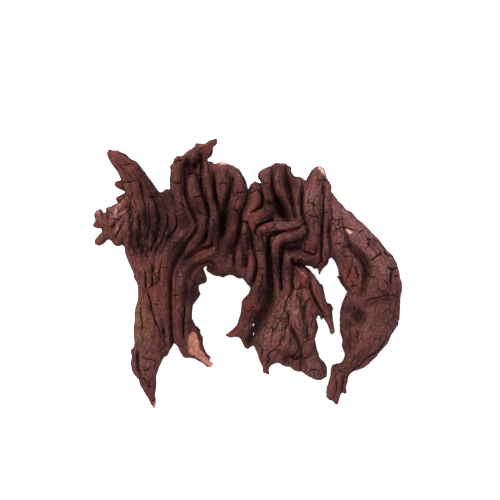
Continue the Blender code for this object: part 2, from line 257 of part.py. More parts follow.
# The furrows between the folds. Each is a run of points (x, y, half width, depth).
FURROWS = [
    # Between the legs, up to the middle.
    [(-52, 45, 1.6, 4), (-57, 35, 2, 6), (-64, 25, 2.2, 7), (-71, 15, 2.4, 8), (-75, 5, 2.6, 9),
     (-77, -5, 2.8, 10), (-78, -20, 2.8, 10), (-78, -40, 2.6, 9), (-77, -55, 2.4, 8), (-76, -68, 2.6, 8)],
    [(-57, 40, 1.4, 5), (-63, 34, 1.5, 6), (-70, 26, 1.6, 6), (-76, 17, 1.7, 6), (-79, 8, 1.5, 5)],
    [(-33, 30, 1.5, 3), (-41, 26, 1.7, 6), (-50, 22, 1.9, 8), (-58, 16, 1.9, 8), (-64, 9, 1.9, 7),
     (-71, 0, 1.7, 6)],
    [(-34, 10, 1.5, 3), (-40, 12, 1.7, 6), (-47, 11.5, 1.9, 7), (-54, 8, 1.9, 8), (-60, 1, 1.9, 8),
     (-62.5, -8, 1.9, 8), (-63, -20, 1.7, 7), (-65, -32, 1.7, 6), (-66, -48, 1.7, 5), (-65, -62, 1.6, 5),
     (-63, -76, 1.5, 3)],
    # The horn and the fan under it.
    [(-129, 110, 1.3, 2), (-122, 101, 1.5, 4), (-117, 90, 1.5, 5), (-113, 78, 1.5, 5), (-110, 66, 1.5, 5)],
    [(-124, 114, 1.3, 2), (-116, 107, 1.4, 4), (-109, 97, 1.5, 5), (-105, 85, 1.6, 6), (-101, 72, 1.6, 6),
     (-100, 60, 1.7, 6), (-99.5, 46, 1.7, 6), (-100.5, 34, 1.5, 5)],
    [(-92, 76, 3.5, 4), (-91, 60, 4.5, 7), (-91, 45, 4, 7), (-94, 32, 3, 6), (-98, 20, 2.2, 4)],
    [(-116.5, 60, 1.4, 4), (-116.5, 48, 1.5, 5), (-117, 36, 1.5, 5), (-116.5, 24, 1.4, 4)],
    [(-108.5, 60, 1.3, 4), (-108, 48, 1.4, 5), (-108.5, 36, 1.4, 5), (-109.5, 24, 1.4, 4)],
    [(-80.5, 58, 1.4, 4), (-81, 48, 1.5, 5), (-84, 38, 1.5, 5), (-88.5, 28, 1.4, 5), (-92, 20, 1.3, 3)],
    [(-71, 62, 1.5, 4), (-71, 50, 1.6, 6), (-74, 42, 1.5, 6), (-79, 35, 1.3, 4)],
    # The first leg.
    [(-101, -4, 1.4, 5), (-101, -18, 1.4, 5), (-102.5, -30, 1.5, 5), (-104, -44, 1.5, 5),
     (-104.5, -58, 1.5, 5), (-106, -72, 1.4, 4)],
    [(-95, 8, 1.3, 4), (-95, -2, 1.4, 5), (-95, -14, 1.4, 5), (-96.5, -28, 1.4, 5), (-96.5, -42, 1.5, 5),
     (-96.5, -54, 1.4, 5), (-94, -66, 1.4, 5), (-90.5, -76, 1.4, 4), (-87, -84, 1.3, 3)],
    [(-109.5, -74, 1.4, 4), (-110, -86, 1.6, 5), (-109, -96, 1.5, 5), (-106.5, -104, 1.3, 3)],
    [(-104.5, -90, 1.4, 4), (-102, -102, 1.4, 4), (-99, -114, 1.3, 3)],
    [(-86, -52, 1.4, 4), (-84.5, -64, 1.5, 5), (-82.5, -75, 1.3, 3)],
    # The crown, from left to right.
    [(-63, 112, 1.7, 5), (-63, 100, 2.1, 8), (-63, 88, 2.1, 9), (-62, 76, 2.1, 9), (-58, 66, 1.9, 8),
     (-54, 57, 1.9, 8), (-50, 47, 1.7, 7), (-53, 39, 1.5, 5)],
    [(-48, 112, 1.7, 5), (-47, 100, 1.9, 8), (-46, 90, 1.9, 9), (-45, 82, 1.9, 9), (-42, 74, 2.1, 9),
     (-41, 60, 2.1, 9), (-41, 50, 1.9, 8), (-42, 38, 1.9, 7), (-46, 31, 1.7, 6), (-52, 24, 1.6, 5)],
    [(-35, 104, 1.6, 4), (-34, 97, 1.9, 7), (-34, 88, 2.1, 9), (-34, 78, 2.1, 10), (-31, 70, 2.3, 10),
     (-29, 62, 2.5, 10), (-27, 56, 3, 10)],
    [(-19, 104, 1.6, 4), (-18, 98, 2.1, 7), (-18, 90, 2.3, 9), (-18.5, 80, 2.6, 10), (-21, 72, 3, 12),
     (-24, 60, 3.8, 14), (-26, 50, 4.2, 15), (-25, 41, 3.5, 13), (-29, 32, 2.6, 9), (-30, 24, 2.1, 5)],
    [(-2, 84, 1.7, 5), (-2, 76, 1.9, 8), (-4, 68, 2.1, 9), (-8.5, 61, 2.3, 10), (-8.5, 54, 2.6, 11),
     (-9, 45, 3, 12), (-10, 36, 3, 11), (-13, 28, 2.6, 8), (-16, 20, 2.1, 5)],
    [(-1, 50, 1.5, 5), (1, 44, 1.7, 7), (3, 38, 1.9, 8), (4, 30, 1.9, 8), (6, 22, 1.9, 8),
     (7.5, 10, 1.9, 7), (7, 0, 1.9, 7), (4, -8, 1.7, 5)],
    [(-2.5, 18, 1.7, 5), (-2, 12, 2, 7), (-2.5, 6, 1.7, 4)],
    [(-13.5, 24, 2, 6), (-14, 16, 2.2, 7), (-13.5, 8, 2, 5)],
    # The lobe and the coils in the middle.
    [(12, 92, 1.7, 5), (12.5, 84, 2.1, 8), (14.5, 74, 2.1, 8), (12.5, 67.5, 1.9, 7), (7, 63, 1.7, 6),
     (2, 60, 1.5, 4)],
    [(24, 103, 1.5, 4), (24, 92, 1.7, 7), (25, 82, 1.9, 8), (29, 74, 2.6, 10), (31.5, 66, 4.5, 16),
     (34, 57, 4.5, 15), (33, 53, 3, 8)],
    [(36.5, 104, 1.7, 5), (37, 95, 2.1, 8), (39, 85, 2.3, 9), (42, 75, 2.3, 10), (44, 66, 2.3, 10),
     (47, 56, 2.1, 8)],
    [(53, 92, 1.6, 4), (52.5, 84, 1.9, 7), (52, 74, 1.9, 8), (52.5, 62, 1.9, 7), (56.5, 50, 1.9, 6),
     (58.5, 42, 1.7, 5), (57, 33, 1.6, 4)],
    [(24, 55, 1.7, 6), (16, 51, 1.9, 7), (8, 46.5, 1.9, 7), (5.5, 40, 1.7, 6)],
    [(51, 46, 1.5, 5), (44, 43, 1.7, 7), (35, 41.5, 1.9, 8), (28, 41, 2.1, 8), (22, 38, 2.1, 9),
     (19, 31, 2.1, 9), (20.5, 24, 2.1, 8)],
    [(55, 35, 1.5, 3), (50, 31.5, 1.9, 6), (43, 29.5, 2.5, 9), (36, 29, 2.5, 9), (32.5, 23, 2.3, 9),
     (32, 10, 2.1, 8), (32, -5, 2.1, 7), (33, -16, 1.9, 5)],
    [(37, 24, 2.5, 7), (44, 24, 3, 9), (51, 24, 2.5, 6)],
    [(43, 14, 1.7, 5), (43.5, 2, 1.9, 8), (43, -8, 1.9, 8), (44, -16, 1.7, 5)],
    [(18, 36, 1.7, 6), (18.5, 25, 2.1, 9), (20, 12, 2.5, 9), (22.5, 0, 3.4, 10), (23, -14, 4.2, 10),
     (20.5, -28, 5, 9), (14, -42, 5, 8), (8.5, -55, 4.6, 7), (3, -67, 3.2, 5)],
    # The shield, its heel and the spike.
    [(44, -12, 1.6, 5), (40.5, -22, 1.7, 5), (38, -32, 1.7, 5), (40.5, -40, 1.6, 5), (40.5, -49, 1.6, 5),
     (34, -64, 1.6, 4), (26, -74, 1.5, 3), (19.5, -82, 1.3, 2)],
    [(53, -10, 1.5, 3), (49, -17, 1.5, 4), (51.5, -26, 1.5, 4), (53, -36, 1.5, 3)],
    [(41, -51, 1.6, 4), (43.5, -54, 1.8, 6), (47, -61.5, 2.2, 7), (51, -71, 2.4, 8), (52.5, -82, 2.2, 7),
     (52.5, -92, 1.9, 5), (52.5, -98, 1.6, 4)],
    [(61.5, -24, 1.5, 4), (56.5, -32, 1.8, 6), (55.3, -42, 1.8, 6), (57.5, -53, 1.8, 6),
        (56.5, -64, 1.6, 4)],
    [(36, -82, 2, 4), (40, -85, 2.6, 6), (45, -83, 2, 4)],
    [(61, -10, 1.6, 5), (62, -21, 1.9, 7), (67.5, -31, 1.9, 7), (73, -42, 1.6, 4)],
    # The mast and the arm.
    [(73, 92, 1.5, 4), (73.8, 80, 1.7, 7), (73, 65, 1.7, 8), (71.5, 48, 1.9, 9), (70.5, 35, 2.1, 9),
     (71.5, 22, 2.1, 8), (71.5, 12, 1.7, 5)],
    [(81, 76, 1.7, 5), (82, 68, 1.9, 7), (82.2, 58, 1.9, 8), (80, 48, 2.1, 8), (80.5, 38, 2.1, 8),
     (82, 28, 2.1, 8), (81, 19, 1.7, 5)],
    [(98, 46, 2.2, 3), (97.5, 38, 3, 6), (99, 30, 4, 7), (104, 21, 4.5, 8), (110, 13, 5, 8), (114, 4, 5, 8),
     (115.5, -6, 4.5, 8), (114.5, -18, 3.4, 5)],
    [(109, -38, 4, 4), (111, -44, 5, 7), (113, -49, 3.5, 3)],
    [(117, -33, 5, 3), (127, -31, 6, 4), (138, -30, 6, 3.5), (147, -29, 4, 2)],
    [(89, -102, 1.3, 3), (87, -112, 1.4, 4), (86, -122, 1.2, 2)],
    [(95, -101, 1.3, 3), (93.5, -110, 1.4, 4), (92, -119, 1.2, 2)],
]

# The low places of the hidden side that it lies on, each worn flat where it touches: (x, y, reach).
FEET = [(-98, -50, 30), (124, -26, 34), (-10, 78, 32)]
FOOT_WEAR = 1.5         # how much of the lowest point is worn away
FLOOR_BLOCK = (500, 500, 100)  # the block under the table's surface that takes the worn part away


def spline(points, step):
    """Points at even spacing along a smooth curve through the given ones; every column is carried along."""
    rows = np.array(points, float)
    rows = np.vstack([2 * rows[0] - rows[1], rows, 2 * rows[-1] - rows[-2]])
    run = []
    for a, b, c, d in zip(rows, rows[1:], rows[2:], rows[3:]):
        count = max(1, round(float(np.hypot(*(c - b)[:2])) / step))
        for t in np.arange(count) / count:
            run.append(0.5 * (2 * b + (c - a) * t + (2 * a - 5 * b + 4 * c - d) * t**2
                              + (3 * b - a - 3 * c + d) * t**3))
    run.append(rows[-2])
    return np.array(run)


class Plan:
    """The body seen in plan: how thick it is, and how high its middle lies, at any place."""

    def __init__(self):
        edge = np.array(OUTLINE, float)
        self.low = edge.min(0) - 4 * GRID
        columns, rows = np.ceil((edge.max(0) + 4 * GRID - self.low) / GRID).astype(int)
        x = self.low[0] + GRID * np.arange(columns)
        y = self.low[1] + GRID * np.arange(rows)
        self.x, self.y = np.meshgrid(x, y)
        inside = self.inside(self.x, self.y, edge)
        self.half = np.sqrt(self.swell(inside))
        self.mid = self.middle(self.x, self.y)

    @staticmethod
    def inside(x, y, edge):
        """Even-odd test of each grid point against the outline."""
        found = np.zeros(x.shape, bool)
        for (ax, ay), (bx, by) in zip(edge, np.roll(edge, -1, 0)):
            if ay == by:
                continue
            crosses = (ay > y) != (by > y)
            found ^= crosses & (x < (bx - ax) * (y - ay) / (by - ay) + ax)
        return found

    @staticmethod
    def swell(inside):
        """Square of the half thickness: a stretched skin over the outline, level from SPREAD inwards."""
        swell = np.where(inside, FULLNESS * SPREAD**2, 0.0)
        weight = 4 + (GRID / SPREAD) ** 2
        for _ in range(RELAX_ROUNDS):
            around = np.zeros_like(swell)
            around[1:-1, 1:-1] = swell[2:, 1:-1] + swell[:-2, 1:-1] + swell[1:-1, 2:] + swell[1:-1, :-2]
            swell = np.where(inside, (around + FULLNESS * GRID**2) / weight, 0.0)
        return swell

    @staticmethod
    def middle(x, y):
        """Height of the middle of the thickness, blended between the places in MIDDLE."""
        total, weights = np.zeros_like(x), np.full_like(x, 1e-9)
        for px, py, pz in MIDDLE:
            weight = np.exp(-((x - px) ** 2 + (y - py) ** 2) / (2 * MIDDLE_REACH**2))
            total += weight * pz
            weights += weight
        return total / weights

    def read(self, field, points):
        """A field's value over any points, from the four grid places round each."""
        u = np.clip((points[:, 0] - self.low[0]) / GRID, 0, field.shape[1] - 1.001)
        v = np.clip((points[:, 1] - self.low[1]) / GRID, 0, field.shape[0] - 1.001)
        i, j = u.astype(int), v.astype(int)
        s, t = u - i, v - j
        return ((1 - s) * (1 - t) * field[j, i] + s * (1 - t) * field[j, i + 1]
                + (1 - s) * t * field[j + 1, i] + s * t * field[j + 1, i + 1])

    def front(self, points):
        return self.read(self.mid, points) + self.read(self.half, points)

    def back(self, points):
        height = self.read(self.mid, points) - BACK_SHARE * self.read(self.half, points)
        for x, y, reach in FEET:
            pull = np.clip(1 - ((points[:, 0] - x) ** 2 + (points[:, 1] - y) ** 2) / reach**2, 0, 1) ** 2
            height = height * (1 - pull) - FOOT_WEAR * pull
        return height


def clear_scene():
    for obj in list(bpy.data.objects):
        bpy.data.objects.remove(obj, do_unlink=True)


def meshed(obj, name, collection):
    """The object as a viewport shows it, as a welded mesh object of its own."""
    graph = bpy.context.evaluated_depsgraph_get()
    mesh = bpy.data.meshes.new_from_object(obj.evaluated_get(graph))
    work = bmesh.new()
    work.from_mesh(mesh)
    bmesh.ops.remove_doubles(work, verts=work.verts, dist=0.00001)
    work.to_mesh(mesh)
    work.free()
    made = bpy.data.objects.new(name, mesh)
    made.matrix_world = obj.matrix_world
    collection.objects.link(made)
    bpy.data.objects.remove(obj, do_unlink=True)
    return made


def modified(obj, kind, **settings):
    """Adds a modifier with these settings and applies it."""
    modifier = obj.modifiers.new(kind.title(), kind)
    for key, value in settings.items():
        setattr(modifier, key, value)
    graph = bpy.context.evaluated_depsgraph_get()
    mesh = bpy.data.meshes.new_from_object(obj.evaluated_get(graph))
    obj.modifiers.clear()
    obj.data = mesh
    return obj


def places(obj):
    """The object's points in millimetres, and the direction its surface faces at each."""
    count = len(obj.data.vertices)
    points, normals = np.empty(count * 3), np.empty(count * 3)
    obj.data.vertices.foreach_get("co", points)
    obj.data.vertices.foreach_get("normal", normals)
    return points.reshape(-1, 3) / MM, normals.reshape(-1, 3)


def move_to(obj, points):
    obj.data.vertices.foreach_set("co", (points * MM).ravel())
    obj.data.update()


def body(plan, collection):
    """The outline as a thin plate, swollen to both sides of its middle."""
    curve = bpy.data.curves.new("plate", "CURVE")
    curve.dimensions = "2D"
    curve.fill_mode = "BOTH"
    curve.extrude = GRID * MM
    edge = curve.splines.new("POLY")
    edge.points.add(len(OUTLINE) - 1)
    for point, (x, y) in zip(edge.points, OUTLINE):
        point.co = (x * MM, y * MM, 0, 1)
    edge.use_cyclic_u = True
    flat = bpy.data.objects.new("plate", curve)
    collection.objects.link(flat)
    plate = modified(meshed(flat, "body", collection), "REMESH", mode="VOXEL", voxel_size=PLATE_VOXEL * MM)
    points, _ = places(plate)
    share = np.clip(0.5 + points[:, 2] / (2 * GRID), 0, 1)
    points[:, 2] = (1 - share) * (plan.back(points) - SKIN) + share * (plan.front(points) + SKIN)
    move_to(plate, points)
    return plate


def add_fold(curve, run, surface, facing):
    """A tapered tube along the run, set in the surface so that its crest stands its rise above it."""
    run = spline(run, STEP)
    radius = run[:, 2]
    crest = surface(run) + facing * run[:, 3]
    centre = np.column_stack([run[:, :2], crest - facing * radius])
    first = (centre[0] - centre[1]) / np.linalg.norm(centre[0] - centre[1]) * radius[0]
    last = (centre[-1] - centre[-2]) / np.linalg.norm(centre[-1] - centre[-2]) * radius[-1]
    line, radii = list(centre), list(radius)
    for past, share in ROUNDING:
        line = [centre[0] + first * past, *line, centre[-1] + last * past]
        radii = [radius[0] * share, *radii, radius[-1] * share]
    tube = curve.splines.new("POLY")
    tube.points.add(len(line) - 1)
    for point, (x, y, z), r in zip(tube.points, line, radii):
        point.co = (x * MM, y * MM, z * MM, 1)
        point.radius = r


def folds(plan, collection):
    """Each fold on the front, and its run-through on the back, where it strays a little."""
    curve = bpy.data.curves.new("folds", "CURVE")
    curve.dimensions = "3D"
    curve.bevel_depth = MM
    curve.bevel_resolution = 2
    curve.use_fill_caps = True
    chance = random.Random(SEED)
    for run in FOLDS.values():
        front = [(x, y, width, rise * RISE_SCALE) for x, y, width, rise in run]
        add_fold(curve, front, plan.front, 1)
        back = []
        for x, y, width, rise in run:
            aside, along = chance.uniform(-1, 1) * BACK_WANDER, chance.uniform(-1, 1) * BACK_WANDER
            back.append((x + aside, y + along, width * BACK_WIDTH, rise * BACK_RISE))
        add_fold(curve, back, plan.back, -1)
    bundle = bpy.data.objects.new("folds", curve)
    collection.objects.link(bundle)
    return meshed(bundle, "fold_tubes", collection)


def joined(pieces, name):
    """All the pieces as one mesh, in the first one."""
    with bpy.context.temp_override(active_object=pieces[0], selected_editable_objects=pieces):
        bpy.ops.object.join()
    pieces[0].name = name
    return pieces[0]


def carve(obj, plan):
    """Sinks the furrows into the side that faces up."""
    points, normals = places(obj)
    trace = np.vstack([spline(run, FURROW_STEP) for run in FURROWS])
    tree = KDTree(len(trace))
    for index, (x, y, _, _) in enumerate(trace):
        tree.insert((x, y, 0), index)
    tree.balance()
    widest = FURROW_FLARE * trace[:, 2].max()
    room = FURROW_ROOM * plan.read(plan.half, points)
    for index in np.flatnonzero((normals[:, 2] > 0.1) & (points[:, 2] > plan.read(plan.mid, points))):
        x, y, _ = points[index]
        sink = 0.0
        for _, near, distance in tree.find_range((x, y, 0), widest):
            width, depth = trace[near, 2:]
            mouth = FURROW_FLARE * width
            if distance < mouth:
                sink = max(sink, depth * (1 - (distance / mouth) ** 2) ** 1.5)
        points[index, 2] -= min(sink, room[index])
    move_to(obj, points)


def wear_flat(obj, guides):
    """Cuts off all that lies below the surface that the piece rests on."""
    bpy.ops.mesh.primitive_cube_add(size=1)
    block = bpy.context.object
    block.name = "floor_cutter"
    block.scale = [size * MM for size in FLOOR_BLOCK]
    block.location.z = -FLOOR_BLOCK[2] * MM / 2
    for owner in list(block.users_collection):
        owner.objects.unlink(block)
    guides.objects.link(block)
    block.hide_render = True
    block.display_type = "WIRE"
    modified(obj, "BOOLEAN", object=block, operation="DIFFERENCE", solver="EXACT")


def bark():
    material = bpy.data.materials.new("weathered_wood")
    material.use_nodes = True
    shader = material.node_tree.nodes["Principled BSDF"]
    shader.inputs["Base Color"].default_value = BARK
    shader.inputs["Roughness"].default_value = 0.8
    shader.inputs["Metallic"].default_value = 0.0
    return material


def main():
    clear_scene()
    collection = bpy.data.collections.new(NAME)
    guides = bpy.data.collections.new("cutters")
    for made in (collection, guides):
        bpy.context.scene.collection.children.link(made)
    plan = Plan()
    wood = joined([body(plan, collection), folds(plan, collection)], NAME)
    modified(wood, "REMESH", mode="VOXEL", voxel_size=VOXEL * MM)
    carve(wood, plan)
    modified(wood, "REMESH", mode="VOXEL", voxel_size=VOXEL * MM)
    share = TRIANGLES / (2 * len(wood.data.polygons))
    modified(wood, "DECIMATE", ratio=share)
    wear_flat(wood, guides)
    wood.data.materials.clear()
    wood.data.materials.append(bark())
    return wood


main()
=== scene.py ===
import random

import bpy
import numpy as np
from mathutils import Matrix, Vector


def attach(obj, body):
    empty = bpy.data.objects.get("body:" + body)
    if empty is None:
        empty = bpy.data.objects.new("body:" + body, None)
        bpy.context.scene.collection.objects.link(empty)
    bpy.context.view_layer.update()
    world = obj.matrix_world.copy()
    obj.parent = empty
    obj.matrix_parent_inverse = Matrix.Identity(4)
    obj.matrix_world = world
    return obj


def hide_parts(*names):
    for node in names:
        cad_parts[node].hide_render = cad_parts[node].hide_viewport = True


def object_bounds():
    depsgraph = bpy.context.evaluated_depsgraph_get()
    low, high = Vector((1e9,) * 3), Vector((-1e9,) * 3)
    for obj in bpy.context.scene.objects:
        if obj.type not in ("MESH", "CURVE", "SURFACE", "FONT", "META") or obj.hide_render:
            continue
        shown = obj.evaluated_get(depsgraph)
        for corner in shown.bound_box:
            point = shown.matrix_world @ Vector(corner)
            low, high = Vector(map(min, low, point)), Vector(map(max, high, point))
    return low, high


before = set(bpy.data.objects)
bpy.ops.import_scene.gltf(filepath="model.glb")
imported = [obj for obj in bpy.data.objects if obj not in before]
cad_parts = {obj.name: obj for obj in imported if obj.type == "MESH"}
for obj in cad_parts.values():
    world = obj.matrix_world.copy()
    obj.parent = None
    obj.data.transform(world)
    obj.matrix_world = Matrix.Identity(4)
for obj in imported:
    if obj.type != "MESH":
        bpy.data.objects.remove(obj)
cadBox = [list(corner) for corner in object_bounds()]
bpy.ops.object.select_all(action="DESELECT")
mm = 0.001

# Lengths are in millimetres.
wood = {
    "cell": 0.58,  # the finest shape that the mesh holds
    "plateCell": 0.8,  # the same for the plate that the body is swollen from
    "triangles": 196000,
    "fullness": 1.70,  # how round a thin limb is: 2 would be a full circle
    "spread": 15.5,  # how far from the edge the body goes on thickening
    "swellRounds": 700,  # passes that the thickness takes to settle
    "skin": 0.5,  # half the thickness at the very edge
    "middleReach": 17.0,  # how far a listed height makes itself felt
    "backShare": 0.80,  # how much the hidden side bulges, beside the front
    "riseScale": 1.15,  # how boldly the folds stand out
    "backRise": 0.8,  # and on the hidden side
    "backWidth": 1.1,  # how wide they are there
    "backWander": 2.5,  # how far they stray there
    "foldStep": 1.2,  # between the points along a fold
    "foldEnds": ((0.5, 0.83), (0.85, 0.45)),  # a fold's rounded end: how far past it and how wide, in radii
    "furrowFlare": 1.3,  # how much wider a furrow's mouth is than its listed width
    "furrowDepth": 0.78,  # how much of its listed depth is cut
    "furrowRoom": 0.9,  # the deepest cut, as a share of half the thickness
    "hollowRoundness": 1.6,  # 1 would be a plain dish, and more gives it a softer rim
    "crackDepth": 2.3,
    "crackHalfWidth": 0.42,
    "crackSlope": 0.35,  # how far its sloping rim goes on beyond that
    "openCrackWidth": 2.0,  # how much wider than the others the open ones are
    "fluteDepth": 1.3,  # the fine grooves between bundles of fibres
    "fluteSpacing": 2.6,
    "fluteLength": 15,
    "fluteHeight": 4.5,  # how far a groove goes down a fold's side before another takes over
    "valleyWidth": 0.09,  # how near the middle value of its noise a place counts as a groove
    "longGrainWidth": 16,  # the half width at which the long grain has its listed spacing
    "lumpSize": 7.0,
    "lumpHeight": 0.4,
    "knotSize": 2.6,
    "knotHeight": 0.28,
    "feet": [(-98, -50, 30), (124, -26, 34), (-10, 78, 32)],  # where it rests: (x, y, reach)
    "footWear": 1.5,
    "seed": 11,
}

# The outline seen from above, clockwise from the horn's root, in millimetres.
outline = [
    (-87, 80.5), (-90, 83), (-95, 90.5), (-101.5, 100), (-106, 106), (-110, 111), (-120, 116.5),
    (-125, 120.5), (-130, 122.5), (-134, 122.7), (-138, 124), (-140, 121), (-140, 118), (-138.5, 114),
    (-136, 110), (-131.4, 107), (-127.6, 103.5), (-126, 100), (-126.2, 97), (-126, 93), (-129, 93),
    (-133, 90), (-132.5, 88), (-130, 85), (-127, 83.5), (-123, 81.8), (-122, 80.5), (-126, 79),
    (-128.5, 76), (-128, 73), (-129, 71), (-134, 69), (-137, 67), (-140, 66.5), (-138.5, 63.5),
    (-139.5, 61), (-143, 61.5), (-144, 59.5), (-146, 62), (-149, 64), (-152, 62), (-152.5, 59), (-151, 55),
    (-153.5, 50.5), (-150, 46.5), (-146, 45), (-143.5, 44), (-145, 41), (-149, 38.5), (-151, 35),
    (-150, 31), (-147, 28.5), (-144, 29), (-140, 33.5), (-138, 34), (-134, 29), (-130, 26.5), (-127, 28),
    (-125, 29), (-123, 25), (-121.5, 20), (-120, 14), (-119, 9.5), (-116.5, 5), (-114, 2), (-113, 0),
    (-115, -2), (-114.5, -4), (-112, -8.5), (-110, -11), (-109.6, -14), (-109.8, -20), (-110.9, -28),
    (-113.3, -36), (-113.8, -40), (-113.9, -48), (-114.8, -55), (-114.8, -62), (-114.2, -70), (-115.5, -76),
    (-117, -83), (-117.8, -90), (-117, -96), (-115, -101), (-110, -107), (-108, -113.3), (-104.2, -120.3),
    (-100.2, -126.6), (-98, -131.4), (-95.6, -135.4), (-92.5, -136), (-92.6, -130), (-92.8, -125),
    (-93.5, -118), (-94, -110), (-92, -101), (-89, -94), (-86, -88), (-84, -84), (-81, -83), (-80, -81),
    (-78, -77), (-77, -72), (-75.5, -69.5), (-72, -72), (-70, -75), (-69, -78), (-66, -83), (-63.5, -85.5),
    (-58, -85), (-50, -85.8), (-47, -86.3), (-44, -90), (-40, -94), (-37.5, -94.5), (-35.5, -92.5),
    (-36, -90), (-38.5, -88), (-39, -86), (-41, -83), (-44, -79), (-44.5, -76), (-45, -70), (-45, -64),
    (-47, -61), (-50, -58), (-52, -54), (-54, -49), (-56, -45), (-56, -38), (-55.5, -32), (-53, -29),
    (-50, -25), (-48, -22), (-47.5, -20), (-49.5, -16), (-50, -13), (-48, -11.5), (-44, -10), (-42, -9),
    (-41, -7.5), (-42, -4), (-42.5, 0), (-44, 2.5), (-45, 4), (-44.5, 7.5), (-43, 8), (-40, 7.2),
    (-36, 3.6), (-33, 1), (-30, -2), (-28, -3.5), (-25, -4.5), (-23, -3.5), (-21.5, -0.8), (-17, -0.7),
    (-12, -1.7), (-8, -3), (-5, -6), (-2, -10), (0, -12.5), (2.2, -13.5), (2, -17.2), (-1.2, -21.5),
    (-5.2, -25.2), (-7, -28.8), (-7.4, -34), (-8.3, -40), (-9.6, -45), (-11.2, -50), (-14, -55), (-19, -58),
    (-22, -60.5), (-24, -62), (-22, -63.5), (-18, -65), (-14, -64), (-10, -64), (-8, -66), (-6, -70),
    (-4, -74.5), (-2, -76.3), (0, -76), (3, -73.5), (5, -72.5), (6, -74), (7, -77), (9, -81), (11, -88),
    (14, -94), (17, -99.5), (19, -102), (21, -101.5), (21.5, -99.5), (20, -98), (20.5, -95.5), (23, -92),
    (26, -90.5), (31, -90), (34, -92.5), (38, -93.8), (41, -93.5), (44, -96), (48, -98.5), (51, -99),
    (52.5, -98), (54, -99.5), (58, -102.5), (63, -105.5), (68, -107.5), (73, -107.5), (76, -105.5),
    (78, -104.5), (79, -101), (79, -96), (77.5, -92), (74, -87.5), (71, -84), (69.5, -79), (67.5, -73),
    (66.3, -66), (66, -60), (66.5, -53), (67, -47), (68.5, -42.5), (70, -41), (71, -43), (72, -45.5),
    (73, -43), (74, -41.5), (75, -42), (77, -46), (79.5, -51), (81, -55.5), (83, -59.5), (85, -60),
    (86, -58), (84.3, -52), (83.8, -46), (83.4, -39), (83.8, -36), (83.6, -33.6), (82.6, -33), (81.5, -33),
    (80.5, -31), (78.5, -30.3), (78, -29), (76.5, -25), (75.5, -20), (74, -12), (73, -10.5), (71, -10.5),
    (69.5, -8), (67, -5), (66, -2), (64.5, -0.5), (61, 2.5), (58, 3.5), (56, 5), (56, 7), (57, 8.2),
    (60, 7.5), (63, 6.5), (65, 4.5), (66, 4), (68, 5.5), (69, 4.5), (69.5, 0), (70.2, -2), (71.5, -0.5),
    (72.5, 3.5), (75, 5.5), (77.5, 8), (79, 12), (79.5, 14), (81, 15), (82.5, 16), (84, 15), (86, 11.5),
    (88, 7), (90, 3), (90.5, -3), (90, -6.5), (91, -7.5), (92, -6.5), (92, -5), (93.5, -4.5), (95, -9),
    (97, -12), (99, -15), (99, -17), (97.5, -20), (95, -25), (93, -30), (90.7, -38), (90.4, -45),
    (90.5, -58), (92.3, -64), (93, -67), (92.6, -73), (96, -80), (95.5, -84), (93, -89.5), (87.6, -90.4),
    (83.4, -91.8), (82.2, -96), (81.6, -103), (79.7, -109), (78.2, -114), (77.4, -120), (78.7, -126),
    (81.2, -128.2), (84, -128), (85.3, -130.8), (88, -132.8), (90.2, -132.4), (90.5, -129), (92, -123.5),
    (93, -120.5), (95, -120.5), (95.8, -121.5), (97, -117), (99.5, -109.5), (99.8, -104), (102, -101),
    (105, -98.5), (110, -97), (115, -95), (120, -91.5), (125, -86), (130, -80.5), (135, -75), (139, -70),
    (141, -65), (144, -60), (148, -54), (150, -49.5), (149.5, -48.5), (147.5, -47.8), (148, -47.2),
    (150.5, -47), (150.8, -40), (151.5, -30), (151.5, -22), (153, -18), (153.5, -14), (152.5, -8),
    (151, -4), (150, 2), (148.5, 7), (147, 12), (144, 18), (140, 21.5), (135, 26.5), (132.5, 31),
    (128, 35.5), (122, 42), (115, 49.5), (108, 55), (101, 60), (97, 64), (93.5, 69), (90, 72), (87, 76),
    (84, 80), (82.5, 81.5), (82.5, 84), (83, 87), (82, 89.5), (79.5, 93), (78, 96), (77, 100), (76.6, 102),
    (75.2, 104.8), (72.8, 107), (70, 107.6), (66.8, 106.8), (64.2, 104.4), (62.6, 100.5), (61.8, 96.5),
    (60.5, 94), (58, 92), (56, 93.5), (53, 96), (51, 97), (47.5, 96.8), (46, 97), (44, 100), (41.6, 104.5),
    (39.6, 108), (38, 109.6), (34, 110.3), (30, 110), (25, 108.5), (20, 107), (14, 104.5), (11, 102.5),
    (9.5, 100), (9, 97), (10.5, 94), (13, 91), (12.5, 89.5), (10, 90.3), (8, 91), (6, 90), (2.5, 90),
    (1.5, 88), (1, 85.5), (0, 83.5), (-1.5, 87), (-2, 91), (-3.5, 95), (-6, 99), (-8, 103), (-10, 105),
    (-14, 107.5), (-20, 109.5), (-22, 110.5), (-24, 111.8), (-27, 112), (-29, 110.5), (-32, 110),
    (-34, 109.8), (-36, 112), (-38, 111.9), (-41, 112), (-40.2, 114), (-39, 117.6), (-38, 121),
    (-35.7, 125.3), (-32.4, 130), (-30.3, 133), (-31, 134.5), (-33.5, 134), (-38, 133), (-42, 130.5),
    (-45, 129), (-46.4, 129), (-47.2, 129.8), (-49.6, 129.2), (-52.4, 127.6), (-55, 125.8), (-58, 123.8),
    (-61, 122), (-64, 118.8), (-66, 117.3), (-69, 117.5), (-72, 116.6), (-75, 114.5), (-74.5, 112),
    (-76.5, 107), (-78, 100), (-78.5, 94), (-78, 87), (-78.5, 83.5), (-80, 83), (-85, 82),
]

